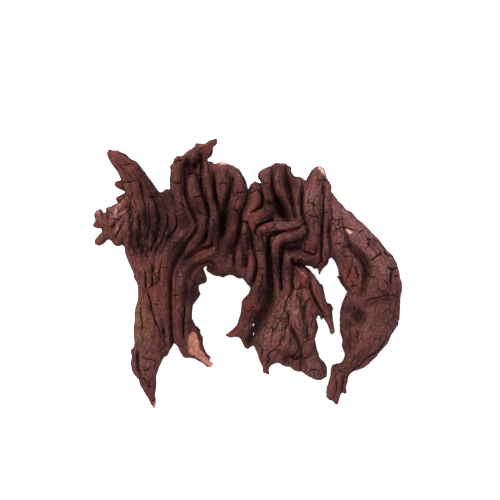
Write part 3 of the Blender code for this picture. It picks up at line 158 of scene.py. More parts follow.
# How high the middle of the thickness lies: (x, y, z).
middleHeights = [
    (-138, 120, 44), (-105, 92, 36), (-148, 52, 32), (-125, 55, 34), (-98, 40, 24), (-100, 0, 22),
    (-97, -55, 19), (-103, -90, 17), (-95, -130, 11), (-60, -20, 24), (-60, -70, 20), (-38, -92, 10),
    (-65, 95, 31), (-33, 132, 43), (-20, 85, 29), (-30, 40, 28), (0, 5, 31), (-30, 0, 22), (25, 95, 33),
    (30, 62, 21), (28, 42, 33), (15, -15, 30), (-2, -50, 23), (-22, -62, 17), (40, -35, 30), (20, -95, 23),
    (45, -75, 20), (68, -95, 19), (66, -15, 38), (84, -55, 44), (66, 80, 31), (72, 30, 28), (92, 50, 29),
    (100, 0, 22), (125, 20, 31), (140, -20, 29), (110, -45, 20), (125, -75, 24), (92, -100, 14),
    (88, -128, 8),
]

# The folds: runs of (x, y, half width, how far the crest stands above the body).
folds = {
    "hornLeft": [(-136.5, 119, 3.4, 0), (-132, 111.5, 4.5, 2), (-126, 103.5, 4.5, 3), (-121, 96, 4.5, 3),
        (-118, 87, 4.5, 3), (-115.5, 77, 4, 2), (-113, 66, 3.5, 1)],
    "hornMid": [(-133, 118.8, 3.8, 1), (-127, 113.5, 4.5, 3), (-119.5, 105.5, 5, 4), (-113.5, 95.5, 5, 4),
        (-109.5, 84, 4.5, 3), (-106, 72, 4, 2), (-104.5, 60, 3.5, 1)],
    "hornRight": [(-130, 118.2, 3, 0), (-122.5, 112.8, 3.6, 2), (-114.5, 105.5, 4, 3), (-108, 95.5, 4.2, 3),
        (-102.5, 85.5, 4.2, 3), (-98, 76, 3.8, 2), (-93, 67, 3.6, 1), (-88, 58, 3.5, 0)],
    "sideKnob": [(-130, 89, 3.5, 3), (-125, 88, 4, 3), (-119, 87, 4, 1)],
    "burlTop": [(-126, 75.5, 3, -2), (-121, 74, 3.5, 1), (-116, 71, 3, 0)],
    "burlMain": [(-137, 63, 2.6, 0), (-132.5, 62.5, 4.2, 4), (-127, 66.5, 4, 5.5), (-121.5, 71.5, 3, 3)],
    "burlLow": [(-140, 44.5, 4, 1), (-136, 51, 4.4, 4), (-130.5, 57.5, 4.4, 5.5), (-124, 63, 3.6, 3)],
    "burlFoot": [(-130, 30.5, 3, 1), (-127.5, 37, 3.6, 3), (-124.5, 45, 3.4, 3.5), (-121.5, 52, 2.8, 2)],
    "burlFoot2": [(-137, 38, 3.5, 0), (-136, 44, 4, 2), (-137, 51, 4, 1)],
    "budTop": [(-149, 61, 2.8, 1), (-148.5, 56, 3.2, 3), (-145.5, 51, 3.2, 3), (-142, 48, 3, 1)],
    "budMid": [(-151, 50.5, 2.5, 0), (-148, 48, 3, 1), (-144, 47, 3, 0)],
    "budSlit": [(-142, 59.5, 2, 0), (-141.5, 54, 2.4, 2), (-140.5, 48, 2.4, 1)],
    "budLow": [(-147, 33.5, 4.2, 2), (-144.5, 37, 4, 2), (-140, 41, 3.5, 1)],
    "fan1": [(-120, 60, 3, 2), (-120.5, 50, 3.5, 3), (-121.5, 40, 3.5, 3), (-119.5, 28, 3.5, 2),
        (-117, 16, 3, 2), (-112, 4, 3.5, 2), (-107, -8, 3.5, 2)],
    "fan2": [(-112.5, 56, 3, 1), (-112, 46, 3.2, 2), (-112, 36, 3.2, 2), (-113.5, 25, 3, 2),
        (-113, 14, 2.6, 1), (-108, 3, 3, 2)],
    "fan3": [(-104.5, 56, 3, 0), (-104, 45, 3, 1), (-104, 34, 3, 1), (-105, 24, 3, 1), (-105.5, 14, 2.8, 1),
        (-104.5, 3, 2.8, 1), (-103.5, -8, 2.8, 1)],
    "fan4": [(-95, 62, 3.2, -1), (-94, 52, 3.5, 0), (-94.5, 42, 3.2, 0), (-97, 32, 3, 0), (-100, 22, 3, 0),
        (-101.5, 12, 2.8, 1)],
    "fan5": [(-86, 66, 3.5, -2), (-84.5, 56, 3.8, -1), (-85.5, 46, 3.6, -1), (-88.5, 36, 3.2, -1),
        (-92, 27, 2.8, 0), (-95, 18, 2.5, 0)],
    "fan6": [(-76, 62, 3.5, -2), (-75.5, 53, 4.2, -1), (-77, 44, 4, -1), (-81.5, 36, 3.5, 0),
        (-86, 28, 3, 0)],
    "fanBack": [(-84, 79, 3.5, -2), (-81, 74, 4, -3), (-78, 66, 4, -4)],
    "shin1": [(-103, 8, 3.5, 2), (-102, -4, 4, 3), (-104, -16, 4.2, 3), (-105.5, -30, 4.5, 3),
        (-107, -44, 4.8, 3), (-108, -58, 5, 3), (-108.5, -70, 5, 2)],
    "shin2": [(-99.5, 10, 3, 2), (-98.5, -2, 3.5, 3), (-98, -14, 3, 2), (-100.5, -28, 3.5, 2),
        (-101, -42, 3.5, 2), (-100.5, -56, 4.5, 2), (-102, -70, 5, 2), (-103.5, -84, 5, 3),
        (-103, -97, 4.5, 3)],
    "shin3": [(-92, 8, 3, 2), (-91.5, 0, 3.8, 4), (-92, -9, 3, 2)],
    "shin4": [(-90, -14, 4.5, 3), (-91, -26, 5, 3), (-91.5, -38, 4.5, 3), (-89.5, -50, 4.5, 3),
        (-88, -60, 4, 3), (-86, -70, 3.5, 2)],
    "shin5": [(-94, -54, 3, 2), (-93, -64, 3.5, 2), (-91, -74, 3.5, 2), (-91, -84, 4, 2), (-93, -94, 4, 2),
        (-96, -104, 4, 2), (-97.5, -114, 3.4, 1), (-96, -124, 2.6, 1)],
    "shin6": [(-97.5, -70, 3.5, 2), (-97, -82, 4, 3), (-98, -94, 4, 3), (-100, -104, 3.5, 2),
        (-101, -113, 3, 1)],
    "calf": [(-112.5, -78, 3, 1), (-113, -88, 3.6, 2), (-112, -97, 3.4, 2), (-108.5, -104, 3, 1)],
    "ankle": [(-84, -40, 4, 2), (-83, -54, 4.2, 2), (-81.5, -66, 4, 2), (-81.5, -76, 3, 1)],
    "sash": [(-60.5, 43, 3.4, 4), (-66, 37.5, 4.8, 7), (-72, 31, 5.5, 8), (-78, 24.5, 6, 8),
        (-82.5, 16, 5.6, 6), (-84, 6, 5, 4), (-84.5, -6, 4.5, 3), (-84.5, -20, 4.2, 3), (-84.5, -34, 4, 2)],
    "sashLow": [(-88, 16, 3, 3), (-88.5, 10, 3.2, 4), (-87, 2, 2.6, 2)],
    "crown1": [(-70, 114, 3.8, 1), (-71, 106, 5, 5), (-71, 96, 5.6, 6), (-71, 86, 5.6, 6), (-70, 76, 5, 5),
        (-68.5, 66, 4.2, 3), (-67, 57, 3.6, 2), (-65, 49, 3, 1)],
    "crown2": [(-63, 76, 2.6, 2), (-60.5, 67, 3, 4), (-57.5, 59, 3.4, 5), (-54.5, 51, 3.8, 6),
        (-55.5, 43, 4, 6), (-59, 36.5, 3.8, 4), (-63, 30, 3.6, 2), (-67, 24, 3.2, 0)],
    "crown3": [(-55, 93.5, 4.4, 6), (-54.5, 87, 5.6, 8), (-53, 78, 6, 9), (-50, 69, 6.2, 9),
        (-46.5, 60, 5.4, 8), (-45, 50, 4.6, 7), (-47, 41, 4.6, 7), (-52, 33.5, 4.6, 6), (-58, 26.5, 4.2, 4),
        (-63.5, 19, 3.6, 2), (-67.5, 12, 3, 0)],
    "crown4": [(-43.5, 110, 2.6, 2), (-42.5, 101, 3.2, 5), (-41.5, 93, 4.6, 8), (-41, 84, 4.8, 8),
        (-39, 76, 3.8, 6), (-37, 68, 2.6, 3), (-35, 61, 2.2, 1)],
    "crown5": [(-28, 105.5, 5.5, 3), (-26.5, 97, 6.6, 6), (-26, 88, 6.4, 7.5), (-26.3, 80, 5, 7),
        (-26.5, 72, 3, 4), (-25, 64, 2.2, 1)],
    "crown6": [(-14, 101, 5.5, 3), (-9.5, 94, 6, 6), (-8.5, 86, 6.4, 8), (-9, 78, 6.8, 8),
        (-11.5, 69, 6.2, 7), (-14.5, 60, 5, 6), (-15, 51, 4.4, 6), (-15, 43, 3.4, 4)],
    "crownFin": [(-33.4, 131.2, 1.5, 0), (-38.2, 126, 3, 2), (-41.8, 120, 3.6, 3.4),
        (-43.5, 114.5, 2.8, 2.6)],
    "crownFin2": [(-49.4, 125.4, 2.4, 1), (-53, 120, 3.4, 3.5), (-55.5, 113.5, 2.8, 2)],
    "crownFin3": [(-62.5, 117.5, 2, 0), (-61, 111, 2.4, 0), (-61.5, 104, 2.2, -2)],
    "heart1": [(-37, 56, 2.8, 3), (-37, 46, 3.2, 5), (-38, 37, 3.2, 4), (-40.5, 28.5, 2.8, 3)],
    "thigh": [(-34, 23, 4.5, 3), (-43, 19.5, 6, 6), (-52, 14.5, 6.2, 7), (-60, 7.5, 6, 7),
        (-65.5, -2, 5.8, 6), (-67.5, -14, 5.4, 5), (-68.5, -28, 5, 4), (-69, -42, 4.8, 4),
        (-69.5, -56, 4.2, 3), (-67.5, -69, 4, 2), (-64, -79, 3.6, 1)],
    "thighBack": [(-50, 6, 3, 0), (-56, -3, 4, 2), (-59, -14, 4.5, 2), (-61, -28, 4.2, 2),
        (-62.5, -42, 3.6, 2), (-62, -54, 3.4, 2), (-61, -66, 3.4, 1)],
    "thighEdge": [(-49, -3, 3.5, -2), (-46.5, -6.5, 3.4, -2)],
    "thighEdge2": [(-55, -16, 3.6, 0), (-51, -20, 3, -1)],
    "toe": [(-57, -52, 2.4, 1.5), (-52.8, -59.5, 2.8, 2.5), (-50.2, -68, 2.8, 3), (-48.2, -76, 2.6, 2),
        (-44.5, -82, 2.2, 1.5), (-41.5, -86.5, 2, 1)],
    "toe2": [(-62, -80, 3, 2), (-55, -82.5, 3, 2), (-48, -84.5, 2.6, 2), (-42, -89.5, 2.6, 2),
        (-38, -92, 2.2, 1)],
    "heart2": [(-17, 39, 2.8, 4), (-20.5, 33, 3.6, 6), (-24, 26, 3.8, 6), (-26, 18, 3.4, 4),
        (-27, 11, 2.6, 1)],
    "heart3": [(-9, 26, 2.8, 4), (-9, 19, 3.6, 7), (-9, 12, 3.4, 6)],
    "heart4": [(-4, 48, 2.8, 4), (-4, 40, 3.2, 6), (-4.2, 32, 2.8, 5), (-3.5, 25, 2.2, 2)],
    "heart5": [(2.5, 23, 2.8, 4), (3.6, 15, 3.4, 6), (3.2, 6, 3.8, 6), (1.5, -3, 4, 5), (0.5, -9, 3, 2)],
    "heart6": [(-3, 20, 2, 1), (-3, 12, 2, 1)],
    "heart7": [(-33, 44, 2.4, 1), (-32, 34, 2.6, 0), (-31, 24, 2.6, 1), (-31.5, 14, 2.6, 1),
        (-28, 6, 3, 0)],
    "heart8": [(-18, 20, 2.6, 0), (-18, 11, 3.2, 1), (-14, 3, 3.5, 1)],
    "belly": [(-38, 7, 3, -5), (-31, 2.5, 3, -5), (-26, -0.5, 3, -5), (-19, 1, 3, -4), (-10, 0, 3, -3)],
    "gapStep": [(4.5, 86.5, 3.5, 0), (8.5, 87.5, 3, 0)],
    "plate1": [(6.5, 80, 5, 4), (7.5, 72, 5.6, 6), (4, 65, 5, 6), (0.5, 58, 4.6, 5), (-2.5, 54, 3, 3)],
    "plate2": [(23, 64, 5, 5), (16, 59.5, 7, 7), (9, 55.5, 7, 7), (4, 50, 5, 5), (4, 43, 3.4, 3)],
    "lobe1": [(13.5, 98.5, 4, 3), (16.5, 95, 4.8, 5), (18, 87, 4.2, 5), (18.5, 80, 4.2, 5),
        (20.5, 73.5, 3.6, 4)],
    "lobe2": [(30, 105, 4, 2), (29, 97, 4, 5), (30.5, 88, 4.2, 6), (33, 80, 4, 5), (37, 71, 3.4, 3),
        (40, 64, 3.4, 2), (42, 57, 2.8, 1)],
    "lobe3": [(39, 103.4, 2.2, 1), (41, 96, 2.8, 2), (43, 88, 2.6, 1)],
    "lobeRim": [(12.5, 99, 3.4, 1), (20, 102.5, 3.6, 2), (29, 105.5, 3.4, 1), (36.4, 105.6, 3, 1)],
    "lobe4": [(50.5, 92, 2.6, 2), (49, 84, 2.4, 4), (47, 76, 2.6, 4), (46, 68, 2.6, 3), (47, 60, 2.6, 2)],
    "lobe5": [(54, 92, 2.4, 0), (53.5, 84, 2, 0)],
    "coil1": [(10, 41, 3.8, 4), (13.5, 44.5, 4.6, 7), (21, 46, 4.8, 9), (30, 47.2, 4.6, 9),
        (39, 46.8, 4.6, 9), (47, 49, 4, 7), (52, 53, 3, 4)],
    "coil2": [(55, 45, 4, 4), (50, 40, 5, 7), (42, 37, 5, 9), (33, 35.4, 4.8, 10), (28, 31, 4.2, 10),
        (26, 23, 4, 8), (27, 13, 3.2, 6), (28, 3, 3, 5), (28, -7, 3, 4), (28, -17, 3.2, 3),
        (29, -27, 3.6, 2), (27, -40, 3.6, 1)],
    "rope1": [(8.5, 37, 3.6, 4), (10, 29, 5, 7), (10.5, 22, 5, 7), (13, 14, 4.6, 6), (13.8, 5, 4.6, 6),
        (12.8, -4, 4.8, 6), (10.5, -13, 5.6, 5.5), (8, -22, 6.2, 5), (4.5, -31, 6.6, 4.5),
        (0.5, -41, 6.2, 3.5), (-3.5, -50, 5.6, 3), (-9, -57.5, 4.2, 2), (-15, -61.5, 2.8, 1),
        (-20.5, -62, 1.6, 0)],
    "rope2": [(19.5, 33, 2.6, 0), (21, 22, 2.6, -2), (22, 8, 2.6, -3), (22.5, -8, 2.8, -3),
        (21.5, -22, 3.2, -4), (18, -36, 3.4, -5), (12, -46, 3, -5)],
    "rope3": [(38, 17, 3.6, 4), (37.2, 9, 4, 6), (37, -1, 4, 6), (38, -10, 4, 5), (40, -19, 4, 3),
        (41, -28, 4, 3)],
    "rope4": [(43, 17.5, 2.8, 3), (50, 16, 3, 3), (58, 15.5, 4, 3), (64, 12.5, 3.6, 1)],
    "rope5": [(50, 27, 3, -3), (42, 26, 3, -5), (36, 24, 3, -5)],
    "knob": [(52, 2.5, 3.6, 2), (55, -2, 5.5, 5), (54.5, -8, 5, 3)],
    "mast": [(70, 102.6, 4.6, 0.5), (68.4, 96.5, 6.2, 4), (65, 86, 7.4, 6), (62.5, 75, 7.8, 7),
        (62, 64, 7.8, 7), (64.5, 53, 6.8, 6), (65.5, 43, 5.2, 6), (64, 34, 4.8, 5), (61.5, 27, 4, 3)],
    "strip": [(76, 94, 3, 0), (76.5, 84, 3.2, 1), (77.5, 72, 3.2, 2), (77, 60, 3.2, 2), (75.5, 48, 2.6, 1),
        (75, 36, 3, 0), (75.5, 24, 3.2, 0), (74.5, 13, 3.2, 0), (71.5, 4, 2, -1)],
    "strip2": [(69, 25, 2.6, 0), (69.5, 16, 2.8, 0), (68, 9, 2, -1)],
    "armInner": [(84, 72, 4.5, 1), (86.5, 60, 5.4, 3), (87.5, 48, 5.8, 4), (89.5, 36, 5.8, 4),
        (91, 24, 5.8, 4), (93.5, 12, 5.8, 3), (97, 0, 5.6, 3), (101, -11, 5, 2)],
    "armOuter": [(90, 61, 4, -1), (99, 53, 6.6, 3), (106, 43, 8, 5), (112, 33, 9.5, 6), (120, 23, 11, 6),
        (127, 11, 11, 5), (131, -3, 11, 4), (132, -16, 10, 2)],
    "armWrist": [(101, -28, 6, 1), (98.5, -42, 5.4, 1), (99, -56, 5.4, 1), (101.5, -70, 5.4, 1)],
    "armPalm": [(131, -34, 9, 0), (125, -54, 9, 1), (117, -66, 9, 2), (109, -78, 7.5, 2),
        (101, -89, 5.6, 1.5), (93, -97, 4.4, 1), (87.5, -106, 4.2, 1.5), (84, -115, 3.8, 1),
        (82.5, -122.5, 3, 0)],
    "armTip": [(91, -96, 2.4, 1.5), (90, -105, 2.4, 2.4), (89.3, -114, 2.2, 2.4), (88.6, -122, 2, 1.8),
        (88.4, -129, 1.5, 0.6)],
    "spike": [(61, -2, 3.6, 1), (65.5, -10, 4.2, 5), (69.5, -20, 4.4, 6), (73.5, -30, 4.4, 5),
        (78, -40, 3.8, 3), (81.5, -50, 3, 2), (84, -57.5, 1.8, 0)],
    "spikeEdge": [(79.8, -30.8, 1.5, 0), (80.2, -36, 1.8, 0)],
    "shield1": [(31, -28, 3.6, 1), (29, -38, 5, 1.5), (24.5, -50, 6, 2), (20.5, -62, 6.4, 2),
        (17.5, -75, 6, 1.5), (16.5, -86, 4, 1.5), (18.5, -97, 2.2, 0)],
    "shield2": [(41, -20, 4.4, 2), (38, -30, 6, 3), (33, -42, 7, 2.5), (29, -54, 8, 2), (26, -66, 7.5, 2),
        (25, -78, 6, 1.5)],
    "shield3": [(50, -8, 3.6, 1), (48, -18, 4.6, 3), (46.5, -30, 6, 4), (47, -42, 6.4, 6),
        (48.5, -50, 5.6, 7), (50, -58, 3.6, 4)],
    "shield4": [(38, -58, 5, 3), (39, -68, 5.6, 3), (36, -77, 4.6, 2), (31, -85, 4.2, 1)],
    "shield5": [(57, -16, 3.4, 2), (60.5, -28, 4.4, 4), (61, -40, 4.6, 4), (62, -52, 4.4, 4),
        (61, -64, 4.6, 3), (59, -76, 5, 2)],
    "shield6": [(64.5, -82, 4, 1), (64, -91, 8, 4), (68, -98, 7.5, 3)],
    "burlLeaf": [(-134, 37, 2.6, 1), (-130.5, 44, 3, 4), (-126.5, 51.5, 3, 5), (-122, 59, 2.6, 3)],
    "crownFin0": [(-40, 130.5, 1.2, -1), (-44.5, 125.5, 2.6, -1), (-47.5, 119, 3, -1), (-49, 112, 2.4, -1)],
    "crownFin4": [(-48.5, 108, 1.8, 2), (-48, 102, 2, 2), (-47, 96, 2, 2)],
    "hook": [(71.5, -39.5, 1.6, 0), (72.1, -43.6, 1, 0)],
    "armNub": [(91.2, -2, 1.3, 0), (90.9, -6.4, 1.1, 0), (90.8, -8.4, 0.7, 0)],
    "armFlap": [(98, -103, 2.2, 0), (96.8, -110, 2, 0), (95.6, -118, 1.3, 0)],
    "shield7": [(44, -90, 4, 0), (48.5, -93.5, 3.6, 0)],
}

# The furrows between the folds: runs of (x, y, half width, depth).
furrows = [
    # Between the legs, up to the middle.
    [(-50, 46, 1.6, 4), (-56, 37, 2.4, 8), (-64, 26, 2.8, 9), (-71, 15, 3, 10), (-75.3, 5, 2.8, 10),
     (-77, -5, 2.5, 10), (-77.3, -20, 2.2, 10), (-77.2, -40, 2, 10), (-76.6, -55, 1.9, 9),
     (-76, -68, 1.9, 9)],
    [(-58, 42, 1.4, 4), (-64, 35, 1.6, 5), (-71, 27, 1.6, 5), (-77, 18, 1.4, 4)],
    [(-33, 30, 1.4, 3), (-41, 26, 1.8, 6), (-50, 22, 2.2, 8), (-58, 16, 2.2, 8), (-64, 9, 1.8, 6),
     (-70, 1, 1.4, 5)],
    [(-34, 10, 1.6, 3), (-40, 12, 2, 6), (-47, 11.5, 2.4, 7), (-54, 8, 2.4, 8), (-60, 1, 2.4, 8),
     (-62.5, -8, 2, 6), (-63, -20, 1.3, 4), (-65, -32, 1, 2.6), (-66, -48, 1, 2.2), (-65, -62, 0.9, 2)],
    # The horn and the fan under it.
    [(-131, 113, 0.9, 1.6), (-124, 104, 1.1, 2.6), (-118.5, 92, 1.1, 3), (-115, 81, 1.1, 3),
     (-112, 70, 1.1, 3), (-110.5, 60, 1.1, 3)],
    [(-127, 116, 0.9, 1.6), (-117, 107, 1.1, 2.6), (-110, 97, 1.2, 3), (-106, 86, 1.2, 3.4),
     (-103, 74, 1.2, 4), (-101, 60, 1.3, 5), (-99.5, 46, 1.3, 5), (-100.5, 34, 1.2, 4)],
    [(-119, 113.5, 0.8, 1.4), (-111, 105.5, 1.1, 2.6), (-104.5, 95, 1.3, 3.4), (-98.5, 84.5, 1.4, 4),
     (-94, 74, 1.4, 4.5), (-90, 66, 1.2, 4)],
    [(-133, 109, 0.8, 1.4), (-127.5, 99, 1, 2.2), (-123.5, 90, 1, 2.4), (-121, 80, 0.9, 2)],
    [(-120, 76, 1.2, 3), (-118, 68, 1.2, 3), (-116.5, 58, 1.2, 4), (-116.5, 48, 1.2, 4), (-117, 36, 1.2, 4),
     (-115.5, 24, 1, 3)],
    [(-108.5, 60, 1.1, 3), (-108, 48, 1.2, 4), (-108.5, 36, 1.2, 4), (-109.5, 24, 1, 3)],
    [(-89.5, 66, 1.2, 4), (-88.5, 52, 1.3, 5), (-90, 42, 1.3, 5), (-93, 32, 1.2, 5), (-97, 22, 1, 3)],
    [(-80.5, 62, 1.2, 4), (-80, 50, 1.3, 5), (-83, 39, 1.3, 5), (-87.5, 29, 1.2, 4), (-92, 20, 1, 3)],
    [(-71, 62, 1.3, 4), (-70.5, 50, 1.4, 5), (-73.5, 42, 1.3, 5), (-79, 35, 1.2, 4)],
    # The first leg.
    [(-98, -15, 0.9, 3), (-99, -23, 1, 3), (-97, -29, 1.1, 4), (-96, -37, 1.2, 4.5), (-93, -45, 1.1, 4),
     (-91, -51, 1.1, 4), (-89.5, -59, 1, 3.5), (-88.5, -65, 0.8, 2.5)],
    [(-94.4, -53, 0.8, 2), (-95, -61, 1, 3), (-93, -69, 1.2, 3.5), (-89, -77, 1, 3), (-85, -82, 0.8, 2)],
    [(-86, -62, 0.8, 2), (-85, -73, 1, 3), (-82, -80, 0.8, 2)],
    [(-109, -26, 0.7, 1.6), (-106.5, -37, 0.9, 2), (-106.5, -45, 0.9, 2), (-108, -51, 0.7, 1.4)],
    [(-103.5, -36, 0.7, 1.4), (-104.5, -46, 0.9, 2), (-102.5, -55, 0.9, 2), (-101, -64, 0.7, 1.4)],
    [(-99, -76, 0.7, 1.6), (-98, -87, 0.9, 2), (-95.5, -99, 0.7, 1.4)],
    [(-112, -60, 0.6, 1.2), (-111, -72, 0.8, 1.8), (-110.5, -84, 1.2, 3.5), (-108.5, -95, 1.2, 3.5),
     (-107, -104, 0.9, 2)],
    [(-103, -68, 0.6, 1.4), (-104.5, -80, 0.8, 1.8), (-103, -92, 0.8, 1.8), (-101, -104, 0.7, 1.6)],
    [(-102.5, 0, 1, 3), (-101.8, -8, 1, 3), (-102.5, -16, 0.9, 2.5), (-102, -26, 0.7, 1.6)],
    [(-95, 8, 1.1, 3.5), (-95, -2, 1.1, 4), (-95.6, -10, 1, 3)],
    [(-99.5, -106, 0.8, 2), (-98, -116, 0.8, 2), (-96, -125, 0.7, 1.6)],
    [(-86.5, -38, 1, 2.5), (-85, -52, 1.3, 4), (-83.5, -64, 1.3, 4), (-82, -74, 1, 3)],
    # The crown, from left to right.
    [(-63.5, 110, 1.4, 5), (-62.5, 98, 2.2, 9), (-62.3, 87, 2, 10), (-61.3, 76, 1.8, 10), (-58, 66, 1.6, 9),
     (-54, 57, 1.6, 8), (-50.5, 47, 1.5, 7), (-53, 39, 1.3, 5)],
    [(-61.5, 95, 1, 4), (-59, 98.6, 1.3, 6), (-55, 100, 1.4, 7), (-50.5, 98.4, 1.3, 7),
     (-47.5, 94.5, 1.2, 5)],
    [(-46, 113.5, 1, 3), (-44.5, 106, 1.2, 4), (-45, 99, 1.2, 4)],
    [(-38.5, 106, 0.9, 2.5), (-38, 98, 1, 3.5), (-37, 91, 0.9, 3)],
    [(-48, 112, 1.6, 5), (-47, 101, 2, 8), (-46, 90, 2, 9), (-44.5, 82, 2, 9), (-41.5, 74, 2, 9),
     (-40.5, 60, 2, 9), (-40.5, 50, 1.8, 8), (-42, 38, 1.8, 7), (-46, 31, 1.6, 6), (-52, 24, 1.5, 5)],
    [(-35.5, 104, 1.3, 3), (-34.5, 97, 1.6, 6), (-34, 88, 2, 8), (-33, 78, 2.2, 10), (-30.5, 70, 2.4, 10),
     (-28.5, 62, 2.6, 10), (-27, 56, 3, 10)],
    [(-12.5, 99, 0.9, 2), (-15.5, 94, 1.2, 4), (-17.6, 88, 1.5, 6), (-20, 80, 2, 9), (-22.5, 71, 3, 11),
     (-24.5, 60, 4.8, 13), (-25.5, 50, 5.4, 14), (-26, 41, 4.4, 13), (-29, 32, 3, 8), (-30, 24, 2, 4)],
    [(-1, 92, 1, 3), (-2, 84, 1.4, 5), (-2.5, 76, 1.5, 6), (-4.5, 68, 1.8, 8), (-8, 61, 2, 9),
     (-8.5, 54, 2.4, 10), (-9, 45, 2.8, 11), (-10, 36, 2.8, 10), (-13, 28, 2.4, 8), (-16, 20, 2, 5)],
    [(-1, 50, 1.3, 4), (1, 44, 1.5, 6), (3, 38, 1.7, 7), (4, 30, 1.7, 7), (6, 22, 1.6, 7),
     (7.5, 10, 1.6, 7), (7, 0, 1.6, 6), (4, -8, 1.3, 4)],
    [(-2.5, 18, 1.5, 5), (-2, 12, 1.8, 6), (-2.5, 6, 1.5, 4)],
    [(-13.5, 24, 1.8, 6), (-14, 16, 2, 7), (-13.5, 8, 1.8, 5)],
    # The lobe and the coils in the middle.
    [(12, 94, 1.4, 4), (12.5, 85, 1.7, 6), (14.5, 75, 1.6, 6), (12.5, 67.5, 1.4, 5), (7, 63, 1.2, 4),
     (2, 60, 1, 3)],
    [(23.5, 102, 1.2, 4), (23.6, 92, 1.7, 8), (24.6, 83, 1.9, 9), (27.5, 75, 2.6, 11)],
    [(37, 105, 1.6, 4), (38, 95, 2.6, 9), (40, 85, 3, 11), (42.5, 75, 3, 11), (44.8, 66, 2.6, 10),
     (46.6, 56, 2, 8)],
    [(53.5, 92, 1.2, 3), (53, 84, 1.6, 7), (52.6, 74, 1.9, 9), (53, 62, 1.8, 8), (55.5, 51, 1.4, 5),
     (58.5, 43, 1.2, 4), (57.5, 34, 1.1, 3)],
    [(24, 54, 1.5, 5), (17, 50.5, 1.6, 6), (9, 46.5, 1.6, 6), (6, 40, 1.5, 5), (9, 35, 1.2, 3)],
    [(51, 45.5, 1.4, 4), (44, 43, 1.8, 7), (35, 41.2, 2.2, 8), (28, 40.5, 2.2, 8), (22, 37, 1.8, 7),
     (19.5, 31, 1.6, 7), (20.5, 24, 1.8, 7)],
    [(54, 34, 1.2, 3), (49, 31.5, 1.6, 5), (42, 29.8, 2, 7), (36, 29, 2.2, 8), (32.5, 23, 2.2, 8),
     (32, 10, 2, 8), (32, -5, 1.8, 7), (33, -16, 1.4, 5)],
    [(52.5, 23, 1, 3), (58, 21, 1.2, 5), (64.5, 18.6, 1.3, 6), (67.4, 22, 1.1, 5), (67.8, 27, 0.9, 3)],
    [(43, 14, 1.6, 5), (43.5, 2, 1.8, 7), (43, -8, 1.8, 7), (43.5, -16, 1.4, 5)],
    # The shield, its heel and the spike.
    [(44, -12, 1.3, 5), (40.5, -22, 1.2, 4), (37.5, -32, 0.9, 2.4), (36, -38, 0.8, 2)],
    [(41, -51, 1, 3), (43.5, -55, 1.7, 5), (46.5, -61.5, 2.4, 7), (50, -70, 2, 6), (52.3, -78, 1.5, 6),
     (52, -88, 1.6, 6), (52.2, -97, 1.4, 5)],
    [(42, -81.5, 1, 3), (47.3, -84.1, 1.2, 4), (51.5, -86.3, 1.3, 5), (55.7, -85.4, 1.2, 4),
     (60.7, -83, 1, 3), (62.8, -77, 0.8, 2), (64, -71, 0.8, 2)],
    [(62, -25, 1, 3), (57.8, -28.5, 1.6, 5), (55.4, -35, 2, 6), (54.3, -43, 1.4, 4), (54, -47, 0.9, 2)],
    [(61, -10, 1.4, 5), (63, -21, 1.5, 7), (68.5, -31, 1.4, 7), (73.5, -40, 1.2, 5)],
    [(36, -87, 1, 3), (34.5, -92, 0.9, 2)],
    [(44.5, -85, 1, 3), (44, -91, 1.1, 3), (44.5, -96, 0.9, 2)],
    # The mast and the arm.
    [(73.2, 88, 0.8, 3), (73.8, 80, 1, 6), (74, 70, 1.1, 8), (73.6, 58, 1.2, 9), (73, 50, 1.3, 9),
     (72.2, 40, 1.6, 9), (72, 30, 1.7, 9), (72, 20, 1.6, 8), (71.6, 12, 1.3, 5)],
    [(84, 53, 0.8, 3), (80.6, 46, 1.4, 6), (79.9, 38, 1.9, 8), (81.5, 28, 1.9, 8), (81, 19, 1.5, 5)],
    [(96, 45, 1.2, 3), (97.5, 37, 1.6, 5)],
    [(96, -101, 0.8, 2), (94.2, -106, 0.9, 2.6), (93.2, -113, 0.9, 2.6), (92.2, -120, 0.8, 2)],
    [(86, -96, 0.8, 1.4), (85.6, -104, 0.9, 1.6), (85, -112, 0.7, 1.2)],
    # The burl.
    [(-134, 57, 1.1, 3), (-127.5, 61, 1.3, 5), (-120, 66, 1.1, 4)],
    [(-134.5, 44, 1, 3), (-129, 51.5, 1.2, 5), (-123.5, 58.5, 1.1, 4)],
    [(-131, 36, 1, 3), (-127.5, 43.5, 1.1, 4.5), (-122.5, 52, 1, 4)],
    [(-139, 62, 1, 3), (-135, 66.5, 1, 3)],
    [(-140.5, 45.5, 0.9, 3), (-139, 53, 1.1, 4), (-140, 60, 0.9, 3)],
]

